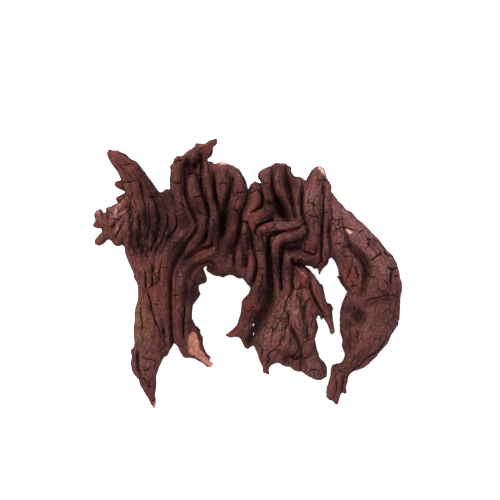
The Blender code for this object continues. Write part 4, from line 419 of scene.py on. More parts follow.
# Broad soft hollows, given like the furrows.
hollows = [
    [(-88, 84, 4, 3), (-89, 72, 6, 5), (-86, 60, 7, 5), (-86, 48, 6, 5), (-91, 34, 5, 4)],
    [(29.5, 71, 6.4, 11), (32.2, 65, 7.6, 15), (35.2, 59, 7, 15), (38.5, 55.5, 5, 9)],
    [(-24, 58, 5.5, 6), (-25, 48, 6.5, 8), (-26, 40, 5, 6)],
    [(-61, 113, 3, 5), (-59.5, 107.5, 4.6, 10), (-55.5, 104, 5, 11), (-51.5, 107.5, 3.6, 9),
     (-50.5, 112, 3, 6)],
    [(-47.5, 117, 2.6, 5), (-47, 111, 3, 6), (-45.5, 105, 2.4, 5)],
    [(44, 10.5, 2.4, 4), (49, 8.4, 3, 7), (54.5, 6.4, 2.6, 5)],
    [(35, 25.5, 3, 6), (43, 25, 4, 8), (51, 25, 3.4, 6)],
    [(19.5, 36, 2.4, 6), (20, 24, 3.4, 8), (20.8, 10, 4, 9), (21.6, -5, 4.8, 9), (22.5, -17, 6.2, 10),
     (20.5, -29, 7.2, 11), (15.5, -40, 7.6, 11), (10.5, -49, 7, 10), (5, -60, 6.2, 8), (1.5, -68, 5, 5)],
    [(33, -80, 4, 2), (38.5, -84, 5.4, 4), (45, -84, 4.6, 3), (51, -84, 3, 2)],
    [(97.5, 35, 3, 4), (101.5, 27, 4.4, 6), (108, 20.5, 5.4, 7), (115, 12.5, 5.6, 8), (117.4, 2, 5.4, 8),
     (116, -7, 5, 6), (113.8, -17, 4, 5), (112.6, -24, 3.4, 2)],
    [(108.4, -35, 5, 2), (110.6, -41, 8, 6), (112, -46.5, 7, 5), (113.5, -52, 5, 2)],
    [(117, -33, 5, 3), (127, -31, 6, 4), (138, -29, 6, 3.5), (147, -27, 4, 2)],
]

# The drying cracks, read along each: runs of (x, y).
cracks = [
    # Horn, burl and fan.
    [(-124.7, 107.3), (-120, 108), (-114, 108.7)],
    [(-127, 91.3), (-118, 90.6), (-108.7, 91.3)],
    [(-106.7, 91), (-104.7, 82), (-104.7, 74)],
    [(-99.3, 75.3), (-95, 76.4), (-91.3, 76)],
    [(-138, 55.3), (-131.3, 53.7), (-126, 54)],
    [(-99.3, 76.7), (-98, 67.3), (-97.3, 52.7), (-99.3, 39.3), (-100.7, 28.7)],
    [(-91, 66), (-88.7, 53), (-90.5, 45), (-91.8, 31)],
    [(-82, 60), (-80.7, 48), (-84, 38), (-88.7, 28)],
    [(-72.7, 60), (-70, 48), (-74, 42), (-78, 36), (-83, 32)],
    [(-112, 60.7), (-115.3, 44.7), (-114, 31.3), (-114, 20.7)],
    [(-106.5, 62), (-108.5, 45), (-106, 32), (-105, 20)],
    [(-120, 84), (-116, 74), (-117, 64), (-122, 54)],
    # First leg.
    [(-107.3, 11.3), (-103.3, 3.3), (-102, -6), (-100.5, -16), (-98, -26), (-96, -34), (-94, -43),
     (-91, -50), (-88, -60), (-84, -71)],
    [(-94, 10), (-95.3, 0.7), (-94, -6), (-98, -14), (-94, -10.7), (-88.7, -10)],
    [(-84.7, 15.3), (-87.3, 4.7), (-88, -6), (-88.7, -10)],
    [(-87.3, 6), (-83, 5.6), (-79.3, 4.7)],
    [(-94, -30), (-88.7, -31.3)],
    [(-87.3, -60.7), (-84.7, -58), (-83.3, -54)],
    [(-104.7, -94), (-102, -98), (-96.7, -94)],
    [(-109.3, -104.7), (-103.3, -106), (-99.3, -114), (-95.3, -115.3)],
    [(-106, -84.7), (-99.3, -86), (-91.3, -86.7)],
    [(-96.7, -128.7), (-92.7, -126.7)],
    [(-107, -34), (-106, -48), (-107, -60)],
    [(-110, -75), (-110.5, -88), (-107, -102)],
    # Second leg.
    [(-71.3, -2), (-66, -3.3)],
    [(-74, -22), (-68.7, -22)],
    [(-65.3, -27.3), (-63.3, -38), (-63.3, -51.3)],
    [(-68.7, -35), (-65.3, -46), (-64.7, -56.7), (-64, -66)],
    [(-59.3, -2), (-52.7, -8.7), (-58, -16.7)],
    # Crown.
    [(-74.7, 110.7), (-70, 112.6), (-64.7, 113.3)],
    [(-75.3, 90), (-70, 89), (-65.3, 89.3)],
    [(-59.3, 98), (-54, 98.7), (-47.3, 96)],
    [(-54.7, 76), (-50, 75.4), (-46, 76.7)],
    [(-55.3, 66), (-51.3, 64.7), (-47.3, 59.3), (-40.7, 58), (-36.7, 55.3), (-34, 47.3)],
    [(-67.3, 71.3), (-62, 66), (-56.7, 60.7)],
    [(-28, 88.7), (-24.7, 90), (-19.3, 89)],
    [(-22, 100.7), (-21.3, 95.3)],
    [(-13.3, 79.3), (-7.3, 80.7), (-2, 81.3)],
    [(-15.3, 75.3), (-11.3, 79.4)],
    [(-16.7, 65.3), (-11.3, 62), (-8.7, 59.3)],
    [(-6, 51.3), (-2.4, 52), (0.7, 50)],
    [(-6, 39.3), (0.7, 38)],
    [(-42, 23.3), (-36, 27.3), (-35.3, 34)],
    # Middle.
    [(0.5, 79), (6, 81.5), (11.8, 82.7)],
    [(14.7, 88.3), (20.3, 89.7)],
    [(14, 85.5), (14.7, 75.6), (13.2, 68.5), (9, 64.2), (2.6, 60.7)],
    [(18.9, 70.6), (23.2, 69.9)],
    [(23.2, 55), (18.9, 50.8), (13.2, 48.7), (7.6, 44.4), (6.2, 40.2), (10.4, 34.5), (14.7, 33)],
    [(24.6, 50), (26.7, 47.2), (24.6, 45)],
    [(56.5, 48.7), (57.2, 40.2), (52.9, 33)],
    [(7.6, 21), (11, 22.6), (14.7, 23.2)],
    [(9, 4.8), (13, 5.4), (16.8, 4)],
    [(26.7, 14.7), (30.2, 14.7)],
    [(-0.9, 24.6), (4.8, 23.9)],
    [(52.2, 23.2), (58.6, 21), (65.7, 18.9), (67, 26)],
    [(43.7, 7.6), (48.7, 10.4), (54.3, 16)],
    [(65.7, 4.8), (71.3, 11.8), (73.5, 16)],
    [(14, -0.8), (13.3, -14.5)],
    [(-5.3, -36.5), (1.6, -36.5), (7.1, -32.4)],
    # Mast.
    [(65.7, 91.9), (71.3, 92.6), (78.4, 92.6)],
    [(72.7, 91.9), (68.5, 85.5)],
    [(57.2, 72), (62.8, 69.2), (67, 66.4)],
    [(59.3, 58.6), (65.7, 56.5), (70.6, 54.3)],
    [(54.3, 57.2), (60, 62.8)],
    [(74.2, 60), (79.8, 60)],
    # Arm.
    [(81.2, 68.5), (82.7, 54.3), (79.8, 48.7), (79.8, 40.2)],
    [(83.4, 53.6), (88, 53), (94, 53.6)],
    [(88.3, 53.6), (89.7, 46.5)],
    [(82.7, 40.2), (88.3, 44.4), (96.8, 45.4), (103.9, 43), (109.6, 41.6)],
    [(108.2, 38.8), (111, 42), (115.2, 43.7)],
    [(84.8, 28.8), (89.7, 30.2), (91.2, 28)],
    [(92.6, 26), (97, 26), (101, 27.4)],
    [(114.5, 23.9), (119.5, 28.8), (118, 34.5), (123.7, 34.5), (128, 28.8)],
    [(118.8, 12.5), (125.2, 16), (132.2, 22.4)],
    [(133.7, 22.4), (143.6, 16)],
    [(136.5, 8.3), (142.2, 3.3), (149.2, 9)],
    [(142.2, 3.3), (140.7, -10.8)],
    [(143.6, -3.7), (149.2, -2.3)],
    [(118.8, 0.5), (120.9, -3.7), (126.6, -4.5)],
    [(102.5, 9), (99.7, 0.5), (96.8, -5.2)],
    [(106.2, 8.9), (108.9, -0.8), (107.5, -7.6)],
    [(102, -13), (108.9, -12.4)],
    [(133.7, -6.3), (137.8, -13)],
    [(112, -27.8), (118, -27.2), (124, -25.4), (130, -23.8), (136, -21.8), (142, -21.6), (150, -22.6)],
    [(129.5, -77.8), (120, -82), (113, -89), (98, -99.8)],
    [(137.8, -66.8), (129.6, -76.4), (124, -81.9)],
    [(107.5, -55.8), (106.9, -66.8)],
    [(99.3, -55.8), (102, -64)],
    [(88.5, -104), (88, -112), (86.5, -120)],
    # Shield.
    [(44.3, -11.8), (40.1, -22.8), (37.4, -32.4), (36, -37.9), (40.1, -42), (40.1, -48.9), (34.6, -64),
     (31.9, -69.5), (25, -75), (19.5, -80.5)],
    [(31.9, -22.8), (36, -26.9), (34.6, -37.9), (33.3, -46.1), (26.4, -55.8), (19.5, -59.9)],
    [(23.6, -42), (29.1, -44.8), (33.3, -46.1)],
    [(40.1, -42), (33.3, -46.1)],
    [(48.4, -17.3), (51.1, -26.9), (51.8, -37.9)],
    [(42.9, -11.8), (48.4, -15.9), (59.4, -14.5), (63.5, -11.8)],
    [(52.5, -9), (48.4, -17.3)],
    [(22.3, -53), (25, -55.8), (23.6, -59.9)],
    [(57, -44), (58.5, -52), (58, -59), (57, -65), (60.8, -61.3), (59.4, -66.8), (52.5, -70.9)],
    [(62.1, -37.9), (63.5, -46.1), (62.8, -55.8)],
    [(11.3, -69.5), (14, -77.8), (12.6, -86)],
    [(31.2, -80.5), (30.5, -76.4), (26.4, -76.4), (19.5, -81.9), (20.9, -86), (16.8, -94.3)],
    [(66.3, -64), (64.9, -75)],
    [(59.4, -97.7), (67.7, -95.7)],
    [(51.1, -72.3), (42.9, -83.3), (47, -86), (51.1, -86)],
    [(40.1, -69.5), (42.9, -64)],
    # Low in the fan.
    [(-108, 38), (-108, 26.3), (-106, 16)],
    [(-99.5, 30), (-101.3, 19.7), (-101, 13)],
    [(-90.4, 38), (-95.5, 27), (-97, 19)],
    [(-104, 29), (-103.6, 18.5)],
    [(-112, 30), (-110.6, 17)],
]

# The cracks that start here have opened widest.
openCracks = [(118.8, 12.5), (136.5, 8.3), (142.2, 3.3)]

# The long grain from the horn's tip to the first foot, which the folds there follow: (x, y, half width).
longGrain = [
    (-139, 124, 5), (-130, 114, 9), (-117, 101, 14), (-107, 84, 19), (-100, 66, 24), (-97, 48, 27),
    (-99, 30, 22), (-101, 12, 17), (-98, -6, 17), (-96.5, -26, 18), (-97, -46, 19), (-98, -66, 20),
    (-101, -84, 17), (-102, -98, 13), (-99, -114, 7), (-94, -136, 3),
]

# The slits worn right through the floor of the trough: (x, y, width, length, turn in degrees).
slits = [(4.8, -51.8, 1.3, 4.8, -20), (5.2, -60.6, 1.2, 5, -20)]

# Where the finish differs: (x, y, reach).
bareAndHighlightRuns = [
    [(-55.5, -63, 3.8, 1), (-54.8, -70, 4.8, 1), (-54, -77, 5, 1)],
    [(-54, -76, 4.6, 1), (-49, -81, 3.6, 1), (-44, -86.5, 2.8, 1), (-38, -91.5, 2.4, 1),
     (-34.5, -95, 2.2, 1)],
    [(-94.2, -131, 1.4, 0.6), (-93.4, -134.5, 1.6, 0.7)],
    [(-28, 109, 1.6, 0.7), (-24.5, 111, 2.2, 0.9), (-22.5, 109, 1.4, 0.6)],
    [(70.5, 105.5, 1.4, 0.9), (73, 102.5, 1.7, 0.9), (75, 98.5, 1.3, 0.7)],
    [(97.5, 43.5, 1.2, 0.7), (99.5, 41.5, 1.6, 0.75), (101.5, 40.5, 1.2, 0.6)],
    [(83.6, -55.5, 1, 0.4), (84.3, -57.5, 1.3, 0.5)],
    [(51.5, 1.5, 1.2, 0.5), (54.5, 0.2, 1.2, 0.6), (56.5, -2.8, 1, 0.5)],
    # The next eight runs are painted highlights along the crests of the bud, the burl and the fan.
    [(-147.5, 63, 1.4, 0.45), (-150.5, 59.5, 1.2, 0.45)],
    [(-119.3, 76, 1.2, 0.44), (-124, 72, 1.4, 0.44), (-128.5, 68, 1.2, 0.4)],
    [(-131, 65.5, 1.4, 0.4), (-131.8, 57.2, 1.4, 0.42)],
    [(-125.2, 61.3, 1.1, 0.48), (-126, 57.2, 1, 0.44)],
    [(-128.5, 46.3, 1.3, 0.42), (-132.7, 38.8, 1.3, 0.42)],
    [(-117.7, 41.3, 1, 0.4), (-120.2, 33, 1.3, 0.42)],
    [(-148.5, 60, 1, 0.4), (-145.2, 52.2, 1, 0.42)],
    [(-111, 52.2, 0.7, 0.4), (-112.7, 46.3, 0.7, 0.38)],
    [(41, 17, 0.8, 0.4), (37.5, 13, 0.8, 0.38)],
    [(50.5, 17.2, 0.7, 0.42), (54, 15, 0.7, 0.42)],
    [(-115, 84, 2, 0.34), (-113.5, 76, 2.2, 0.34), (-114.5, 68, 2, 0.3)],
]
emberSpots = [
    (-38, 123, 6), (-134, 117, 8, 0.8), (-122, 105, 10, 0.6), (-112, 92, 10, 0.4), (-125, 55, 12, 0.4),
    (-146, 50, 7, 0.5), (-66, 36, 8, 0.5), (-40, 30, 6), (98, 0, 8, 0.8), (47.5, -51, 5), (12, 66, 9),
    (-12, 60, 7), (54, -4, 5, 0.6), (28, -68, 9, 0.5), (-50, 20, 9, 0.8), (112, -66, 10, 0.4), (5, 50, 6),
    (-50, 72, 7), (-30, 92, 6, 0.6), (3, -36, 10, 0.9), (-15, -60, 6), (-70, 90, 6, 0.6),
    (-98, -20, 12, 0.5), (-84, 0, 8, 0.5), (40, -5, 6, 0.6), (-22, 45, 5, 0.5),
]
# Patches of painted shade, where the folds lie deep or turn away from the light.
paintedShadeSpots = [
    (-35, 3, 6, 0.8), (-25, -1, 5, 0.8), (-46, -5, 4, 0.9), (-16, 2, 6, 0.6), (86, -60, 3, 0.3),
    (100, -36, 8, 0.9), (98, -50, 7, 0.9), (99, -68, 7, 0.8), (150, -30, 6, 0.4), (110, -43, 8, 1.2),
    (118, -62, 22, 0.3), (132, -30, 26, 0.4), (128, -48, 18, 0.4), (-90, 48, 20, 1.3), (-108, 38, 12),
    (-100, 54, 14), (-104, 26, 11), (-92, 28, 12), (-103, 18, 8, 0.8), (-113, 48, 7, 0.6),
    (-112, 96, 13, 0.6), (-124, 107, 10, 0.35), (-120, 92, 9, 0.4), (-104, 82, 12, 0.7),
    (-38, 124, 6, 0.45), (-108, 103, 5, 0.8), (-82, 72, 14, 1.2), (93, -25, 3.4, 0.9), (92, -34, 3, 0.9),
    (92, -43, 3, 0.9), (92, -52, 3, 0.9), (93, -61, 3, 0.8), (1, -66, 9, 1), (-106, 95, 5, 0.9),
    (-100, 86, 6), (-95, 77, 6), (46, -84, 6, 0.6), (51, -70, 5, 0.6), (-62, 52, 14), (-40, 40, 16),
    (-52, 66, 14), (-22, 30, 15), (-20, 58, 12), (-64, 14, 12), (-60, -20, 12), (2, 30, 14), (22, 66, 14),
    (30, 8, 15), (14, -20, 12), (21, -24, 8), (8, -44, 12), (12, -48, 9), (50, 30, 10), (-62, 102, 10),
    (-75, 30, 12), (38, -84, 6, 0.8), (104, -45, 14, 0.35), (28, 105, 8, 0.5), (40, 90, 8, 0.8),
    (-47, 119, 6, 0.9), (-56, 107, 9), (-48, 112, 5), (42, 25, 7), (49, 9, 5), (54, -85, 6, 0.6),
    (-68, 92, 12, 0.65), (-48, 90, 13, 0.7), (-26, 92, 12, 0.6), (-9, 84, 10, 0.65), (-98, -20, 22, 0.35),
    (-95, -60, 24, 0.3), (-62, -50, 16, 0.5), (66, 48, 12, 0.4),
]
flutedSpots = [
    (-118, 100, 20), (-108, 70, 26), (-95, 50, 26), (-98, 15, 20), (-98, -30, 22), (-96, -70, 22),
    (-93, -105, 16), (-66, -30, 18), (-60, -60, 14), (-60, 60, 20), (-40, 30, 20),
]
# Dust, which on the horn's tip and the burl is also a painted highlight.
dustAndHighlightSpots = [
    (-107, -40, 14, 0.4), (-104, -62, 12, 0.4), (-100, -92, 10, 0.4), (112, 45, 26, 1), (128, 10, 18, 1),
    (65, 76, 14, 0.7), (73, 102, 5), (15, 98, 8, 0.5), (122, -52, 18, 0.5), (95, 60, 14), (-130, 60, 9),
    (-124, 50, 8, 0.7), (30, 46, 9, 0.7), (40, -38, 16, 0.9), (26, -60, 16, 0.85), (60, -55, 14, 0.6),
    (68, -95, 12, 0.5), (-132, 117, 8, 0.45), (-120, 105, 9, 0.35), (-117, 88, 7, 0.3), (-68, 35, 8, 0.5),
    (-76, 26, 8, 0.5), (-25, 110, 5), (100, 42, 4), (-94, -135, 4), (-35, -95, 3, 0.8), (84, -57, 3, 0.8),
]
oliveSpots = [
    (-108, -45, 9), (-106, -60, 9), (-104, -30, 8, 0.6), (-97, 2, 8, 0.4), (-124, 68, 6, 0.5),
    (40, 17, 4, 0.8),
]


def toLinear(hexColour):
    parts = [int(hexColour[i:i + 2], 16) / 255 for i in (1, 3, 5)]
    return [c / 12.92 if c <= 0.04045 else ((c + 0.055) / 1.055) ** 2.4 for c in parts] + [1.0]


def smoothRun(points, step):
    # Evenly spaced points on a smooth curve through the given ones, with every column carried along.
    rows = np.array(points, float)
    rows = np.vstack([2 * rows[0] - rows[1], rows, 2 * rows[-1] - rows[-2]])
    run = []
    for a, b, c, d in zip(rows, rows[1:], rows[2:], rows[3:]):
        count = max(1, round(float(np.hypot(*(c - b)[:2])) / step))
        for t in np.arange(count) / count:
            run.append(0.5 * (2 * b + (c - a) * t + (2 * a - 5 * b + 4 * c - d) * t**2
                              + (3 * b - a - 3 * c + d) * t**3))
    run.append(rows[-2])
    return np.array(run)


def latticeNoise(places, size, seed):
    # Smooth noise from 0 to 1 over places, one lump every size.
    span = 32  # lumps before the noise repeats
    table = np.random.default_rng(seed).random((span, span, span))
    at = places / size
    low = np.floor(at).astype(int)
    part = at - low
    part = part * part * (3 - 2 * part)
    total = np.zeros(len(places))
    for corner in np.ndindex(2, 2, 2):
        weight = np.ones(len(places))
        for axis in range(3):
            weight *= part[:, axis] if corner[axis] else 1 - part[:, axis]
        i, j, k = ((low + corner) % span).T
        total += weight * table[i, j, k]
    return total


def layeredNoise(places, size, seed, layers=3):
    apart = 17.3  # keeps the layers' lumps from lining up
    total, weight = np.zeros(len(places)), 0.0
    for layer in range(layers):
        share = 0.5**layer
        total += share * latticeNoise(places + apart * layer, size * share, seed + layer)
        weight += share
    return total / weight


class Field:
    # A map of one value over the wood seen from above.
    margin = 6  # mm around the outline

    def __init__(self, cell, start=0.0):
        edge = np.array(outline, float)
        self.cell = cell
        self.low = edge.min(0) - self.margin
        columns, rows = np.ceil((edge.max(0) + self.margin - self.low) / cell).astype(int)
        self.values = np.full((rows, columns), start)

    def grid(self):
        x = self.low[0] + self.cell * np.arange(self.values.shape[1])
        y = self.low[1] + self.cell * np.arange(self.values.shape[0])
        return np.meshgrid(x, y)

    def read(self, places):
        # The values between the four cells around each place, which stays a hair inside the last cell.
        u = np.clip((places[:, 0] - self.low[0]) / self.cell, 0, self.values.shape[1] - 1.001)
        v = np.clip((places[:, 1] - self.low[1]) / self.cell, 0, self.values.shape[0] - 1.001)
        i, j = u.astype(int), v.astype(int)
        s, t = u - i, v - j
        f = self.values
        return ((1 - s) * (1 - t) * f[j, i] + s * (1 - t) * f[j, i + 1]
                + (1 - s) * t * f[j + 1, i] + s * t * f[j + 1, i + 1])

    def readOn(self, other):
        # The same map at another map's cells.
        x, y = other.grid()
        return self.read(np.column_stack([x.ravel(), y.ravel()])).reshape(x.shape)

    def stamp(self, run, power, pointed=False):
        # Draws a run of (x, y, half width, height) into the map, keeping the larger value.
        for x, y, reach, height in run:
            n = int(reach / self.cell) + 2
            i, j = round((x - self.low[0]) / self.cell), round((y - self.low[1]) / self.cell)
            if not (n < i < self.values.shape[1] - n and n < j < self.values.shape[0] - n):
                continue
            window = self.values[j - n:j + n + 1, i - n:i + n + 1]
            dx = self.low[0] + self.cell * np.arange(i - n, i + n + 1) - x
            dy = self.low[1] + self.cell * np.arange(j - n, j + n + 1) - y
            away = (dx[None, :] ** 2 + dy[:, None] ** 2) / reach**2
            away = np.sqrt(away) if pointed else away
            np.maximum(window, height * np.clip(1 - away, 0, 1) ** power, out=window)

    def blur(self, reach):
        count = max(1, int(round(2.5 * reach / self.cell)))
        kernel = np.exp(-(np.arange(-count, count + 1) * self.cell) ** 2 / (2 * reach**2))
        kernel /= kernel.sum()
        for axis in (0, 1):
            ends = [(0, 0), (0, 0)]
            ends[axis] = (count, count)
            padded = np.pad(self.values, ends, mode="edge")
            total = np.zeros_like(self.values)
            for offset, weight in enumerate(kernel):
                total += weight * np.take(padded, np.arange(offset, offset + self.values.shape[axis]), axis)
            self.values = total


def insideOutline(x, y):
    inside = np.zeros(x.shape, bool)
    edge = np.array(outline, float)
    for (ax, ay), (bx, by) in zip(edge, np.roll(edge, -1, 0)):
        if ay != by:
            inside ^= ((ay > y) != (by > y)) & (x < (bx - ax) * (y - ay) / (by - ay) + ax)
    return inside


def swelling(inside):
    # The square of half the thickness, which settles like a skin blown up over the outline.
    swell = np.where(inside, wood["fullness"] * wood["spread"] ** 2, 0.0)
    weight = 4 + 1 / wood["spread"] ** 2
    for _ in range(wood["swellRounds"]):
        around = np.zeros_like(swell)
        around[1:-1, 1:-1] = swell[2:, 1:-1] + swell[:-2, 1:-1] + swell[1:-1, 2:] + swell[1:-1, :-2]
        swell = np.where(inside, (around + wood["fullness"]) / weight, 0.0)
    return swell


def middleSurface(x, y):
    # The listed heights, each counting most near its own place.
    total, weights = np.zeros_like(x), np.full_like(x, 1e-9)
    for px, py, pz in middleHeights:
        near = np.exp(-((x - px) ** 2 + (y - py) ** 2) / (2 * wood["middleReach"] ** 2))
        total += near * pz
        weights += near
    return total / weights


class Form:
    # The wood's front and back surfaces, before the folds.
    def __init__(self):
        self.half, self.middle = Field(1.0), Field(1.0)
        x, y = self.half.grid()
        self.half.values = np.sqrt(swelling(insideOutline(x, y)))
        self.middle.values = middleSurface(x, y)

    def front(self, places):
        return self.middle.read(places) + self.half.read(places)

    def back(self, places):
        height = self.middle.read(places) - wood["backShare"] * self.half.read(places)
        for x, y, reach in wood["feet"]:
            gap = ((places[:, 0] - x) ** 2 + (places[:, 1] - y) ** 2) / reach**2
            pull = np.clip(1 - gap, 0, 1) ** 2
            height = height * (1 - pull) - wood["footWear"] * pull
        return height


def selectOnly(*objs):
    bpy.ops.object.select_all(action="DESELECT")
    for obj in objs:
        obj.select_set(True)
    bpy.context.view_layer.objects.active = objs[0]


def applied(obj, kind, **settings):
    selectOnly(obj)
    modifier = obj.modifiers.new(kind.title(), kind)
    for key, value in settings.items():
        setattr(modifier, key, value)
    bpy.ops.object.modifier_apply(modifier=modifier.name)
    return obj


def linked(name, data):
    obj = bpy.data.objects.new(name, data)
    bpy.context.collection.objects.link(obj)
    return obj


def curveToMesh(obj):
    selectOnly(obj)
    bpy.ops.object.convert(target="MESH")
    return applied(bpy.context.object, "WELD", merge_threshold=0.00001)


def readMesh(obj):
    count = len(obj.data.vertices)
    places, facing = np.empty(count * 3), np.empty(count * 3)
    obj.data.vertices.foreach_get("co", places)
    obj.data.vertices.foreach_get("normal", facing)
    return places.reshape(-1, 3) / mm, facing.reshape(-1, 3)


def writeMesh(obj, places):
    obj.data.vertices.foreach_set("co", (places * mm).ravel())
    obj.data.update()


def swollenPlate(form):
    # A plate 2 mm thick in the wood's outline, whose sides are drawn apart to the front and the back.
    curve = bpy.data.curves.new("plate", "CURVE")
    curve.dimensions = "2D"
    curve.fill_mode = "BOTH"
    curve.extrude = mm
    edge = curve.splines.new("POLY")
    edge.points.add(len(outline) - 1)
    for point, (x, y) in zip(edge.points, outline):
        point.co = (x * mm, y * mm, 0, 1)
    edge.use_cyclic_u = True
    plate = curveToMesh(linked("plate", curve))
    applied(plate, "REMESH", mode="VOXEL", voxel_size=wood["plateCell"] * mm)
    places, _ = readMesh(plate)
    share = np.clip(0.5 + places[:, 2] / 2, 0, 1)
    skin = wood["skin"]
    places[:, 2] = (1 - share) * (form.back(places) - skin) + share * (form.front(places) + skin)
    writeMesh(plate, places)
    return plate


def addTube(curve, run, surface, facing):
    # One fold along its run, a round tube that sinks into the surface by all but its rise.
    run = smoothRun(run, wood["foldStep"])
    radius = run[:, 2]
    centre = np.column_stack([run[:, :2], surface(run) + facing * (run[:, 3] - radius)])
    first = (centre[0] - centre[1]) / np.linalg.norm(centre[0] - centre[1]) * radius[0]
    last = (centre[-1] - centre[-2]) / np.linalg.norm(centre[-1] - centre[-2]) * radius[-1]
    line, radii = list(centre), list(radius)
    for past, share in wood["foldEnds"]:
        line = [centre[0] + first * past, *line, centre[-1] + last * past]
        radii = [radius[0] * share, *radii, radius[-1] * share]
    tube = curve.splines.new("POLY")
    tube.points.add(len(line) - 1)
    for point, (x, y, z), r in zip(tube.points, line, radii):
        point.co = (x * mm, y * mm, z * mm, 1)
        point.radius = r


def foldTubes(form):
    curve = bpy.data.curves.new("folds", "CURVE")
    curve.dimensions = "3D"
    curve.bevel_depth = mm
    curve.bevel_resolution = 4
    curve.use_fill_caps = True
    chance = random.Random(wood["seed"])
    for run in folds.values():
        addTube(curve, [(x, y, r, rise * wood["riseScale"]) for x, y, r, rise in run], form.front, 1)
        back = []
        for x, y, r, rise in run:
            x += chance.uniform(-1, 1) * wood["backWander"]
            y += chance.uniform(-1, 1) * wood["backWander"]
            back.append((x, y, r * wood["backWidth"], rise * wood["backRise"]))
        addTube(curve, back, form.back, -1)
    return curveToMesh(linked("foldTubes", curve))


def jagged(points, chance, step=0.8, sway=0.16):
    # A crack's course: each straight stretch is broken by halves, each time a little off the line.
    line = [np.array(p, float) for p in points]
    while max(np.linalg.norm(b - a) for a, b in zip(line, line[1:])) > step * 2:
        finer = [line[0]]
        for a, b in zip(line, line[1:]):
            gap = b - a
            if np.linalg.norm(gap) > step * 2:
                finer.append((a + b) / 2 + np.array([-gap[1], gap[0]]) * chance.uniform(-sway, sway))
            finer.append(b)
        line = finer
    return line


def crackField():
    # Each crack is full width for most of its length and runs out thin at both ends.
    field = Field(0.25)
    chance = random.Random(wood["seed"] + 1)
    for points in cracks:
        width = wood["openCrackWidth"] if points[0] in openCracks else 1.0
        line = jagged(points, chance)
        lengths = [np.linalg.norm(b - a) for a, b in zip(line, line[1:])]
        total = sum(lengths)
        gone = 0.0
        run = []
        for a, b, length in zip(line, line[1:], lengths):
            for t in np.arange(0, 1, field.cell / max(length, field.cell)):
                along = (gone + length * t) / total
                taper = min(1.0, 4 * along + 0.3, 4 * (1 - along) + 0.3)
                reach = (wood["crackHalfWidth"] * taper + wood["crackSlope"]) * width
                run.append((*(a + (b - a) * t), reach, taper))
            gone += length
        field.stamp(run, 1.0)
    return field


def furrowField():
    # Narrow furrows are cut to a point, and the broad hollows are dished.
    furrowMap, dished = Field(0.4), Field(0.8)
    for run in furrows:
        run = smoothRun(run, 0.5)
        run[:, 2] *= wood["furrowFlare"]
        run[:, 3] *= wood["furrowDepth"]
        furrowMap.stamp(run, 1.0, pointed=True)
    for run in hollows:
        dished.stamp(smoothRun(run, 1.0), wood["hollowRoundness"])
    carvedMap = Field(0.4)
    carvedMap.values = furrowMap.values + dished.readOn(furrowMap)
    return furrowMap, carvedMap


def sampledRun(run, number):
    # Rows of (x, y, direction x, direction y, length so far, number, half width) down a run.
    run = smoothRun(run, 1.0)
    step = np.gradient(run[:, :2], axis=0)
    length = np.linalg.norm(step, axis=1)
    numbers = np.full(len(run), number)
    return np.column_stack([run[:, :2], step / length[:, None], np.cumsum(length), numbers, run[:, 2]])


def nearestSample(places, samples, reach, wideFirst):
    # For each place, the row of the nearest sample, and how far off it is, squared.
    # With wideFirst, the samples of a wide fold count as nearer.
    nearest = Field(1.0)
    x, y = nearest.grid()
    best = np.full(x.shape, 1e9)
    owner = np.zeros(x.shape, int)
    for index, (px, py, *_, r) in enumerate(samples):
        i, j = round((px - nearest.low[0])), round((py - nearest.low[1]))
        a, b, c, d = max(i - reach, 0), i + reach + 1, max(j - reach, 0), j + reach + 1
        away = (x[c:d, a:b] - px) ** 2 + (y[c:d, a:b] - py) ** 2
        if wideFirst:
            away = away - 0.6 * r * r
        closer = away < best[c:d, a:b]
        best[c:d, a:b][closer] = away[closer]
        owner[c:d, a:b][closer] = index
    i = np.clip(np.round(places[:, 0] - nearest.low[0]).astype(int), 0, x.shape[1] - 1)
    j = np.clip(np.round(places[:, 1] - nearest.low[1]).astype(int), 0, x.shape[0] - 1)
    return samples[owner[j, i]], best[j, i]


def foldGrain(places):
    # For each place, how far it lies along and across the grain, and the number of the fold it belongs to.
    samples = np.vstack([sampledRun(run, number) for number, run in enumerate(folds.values())])
    chosen, _ = nearestSample(places, samples, 24, True)
    guide, away = nearestSample(places, sampledRun(longGrain, len(folds)), 32, False)
    long = away < (1.1 * guide[:, 6]) ** 2
    chosen = np.where(long[:, None], guide, chosen)
    gap = places[:, :2] - chosen[:, :2]
    along = chosen[:, 4] + gap[:, 0] * chosen[:, 2] + gap[:, 1] * chosen[:, 3]
    across = gap[:, 0] * chosen[:, 3] - gap[:, 1] * chosen[:, 2]
    # The long grain spreads and narrows with its limb.
    across = np.where(long, across * wood["longGrainWidth"] / np.maximum(chosen[:, 6], 5), across)
    return along, across, chosen[:, 5]


def sinkFurrows(obj, form, carvedMap):
    places, facing = readMesh(obj)
    wall, slope = 0.05, 0.25  # how far a face looks up to be sunk at all, and how much more to be sunk fully
    up = facing[:, 2]
    front = (places[:, 2] > form.middle.read(places)) & (up > wall)
    sink = np.minimum(carvedMap.read(places), wood["furrowRoom"] * form.half.read(places))
    places[:, 2] -= np.where(front, sink * np.clip((up - wall) / slope, 0, 1), 0)
    writeMesh(obj, places)


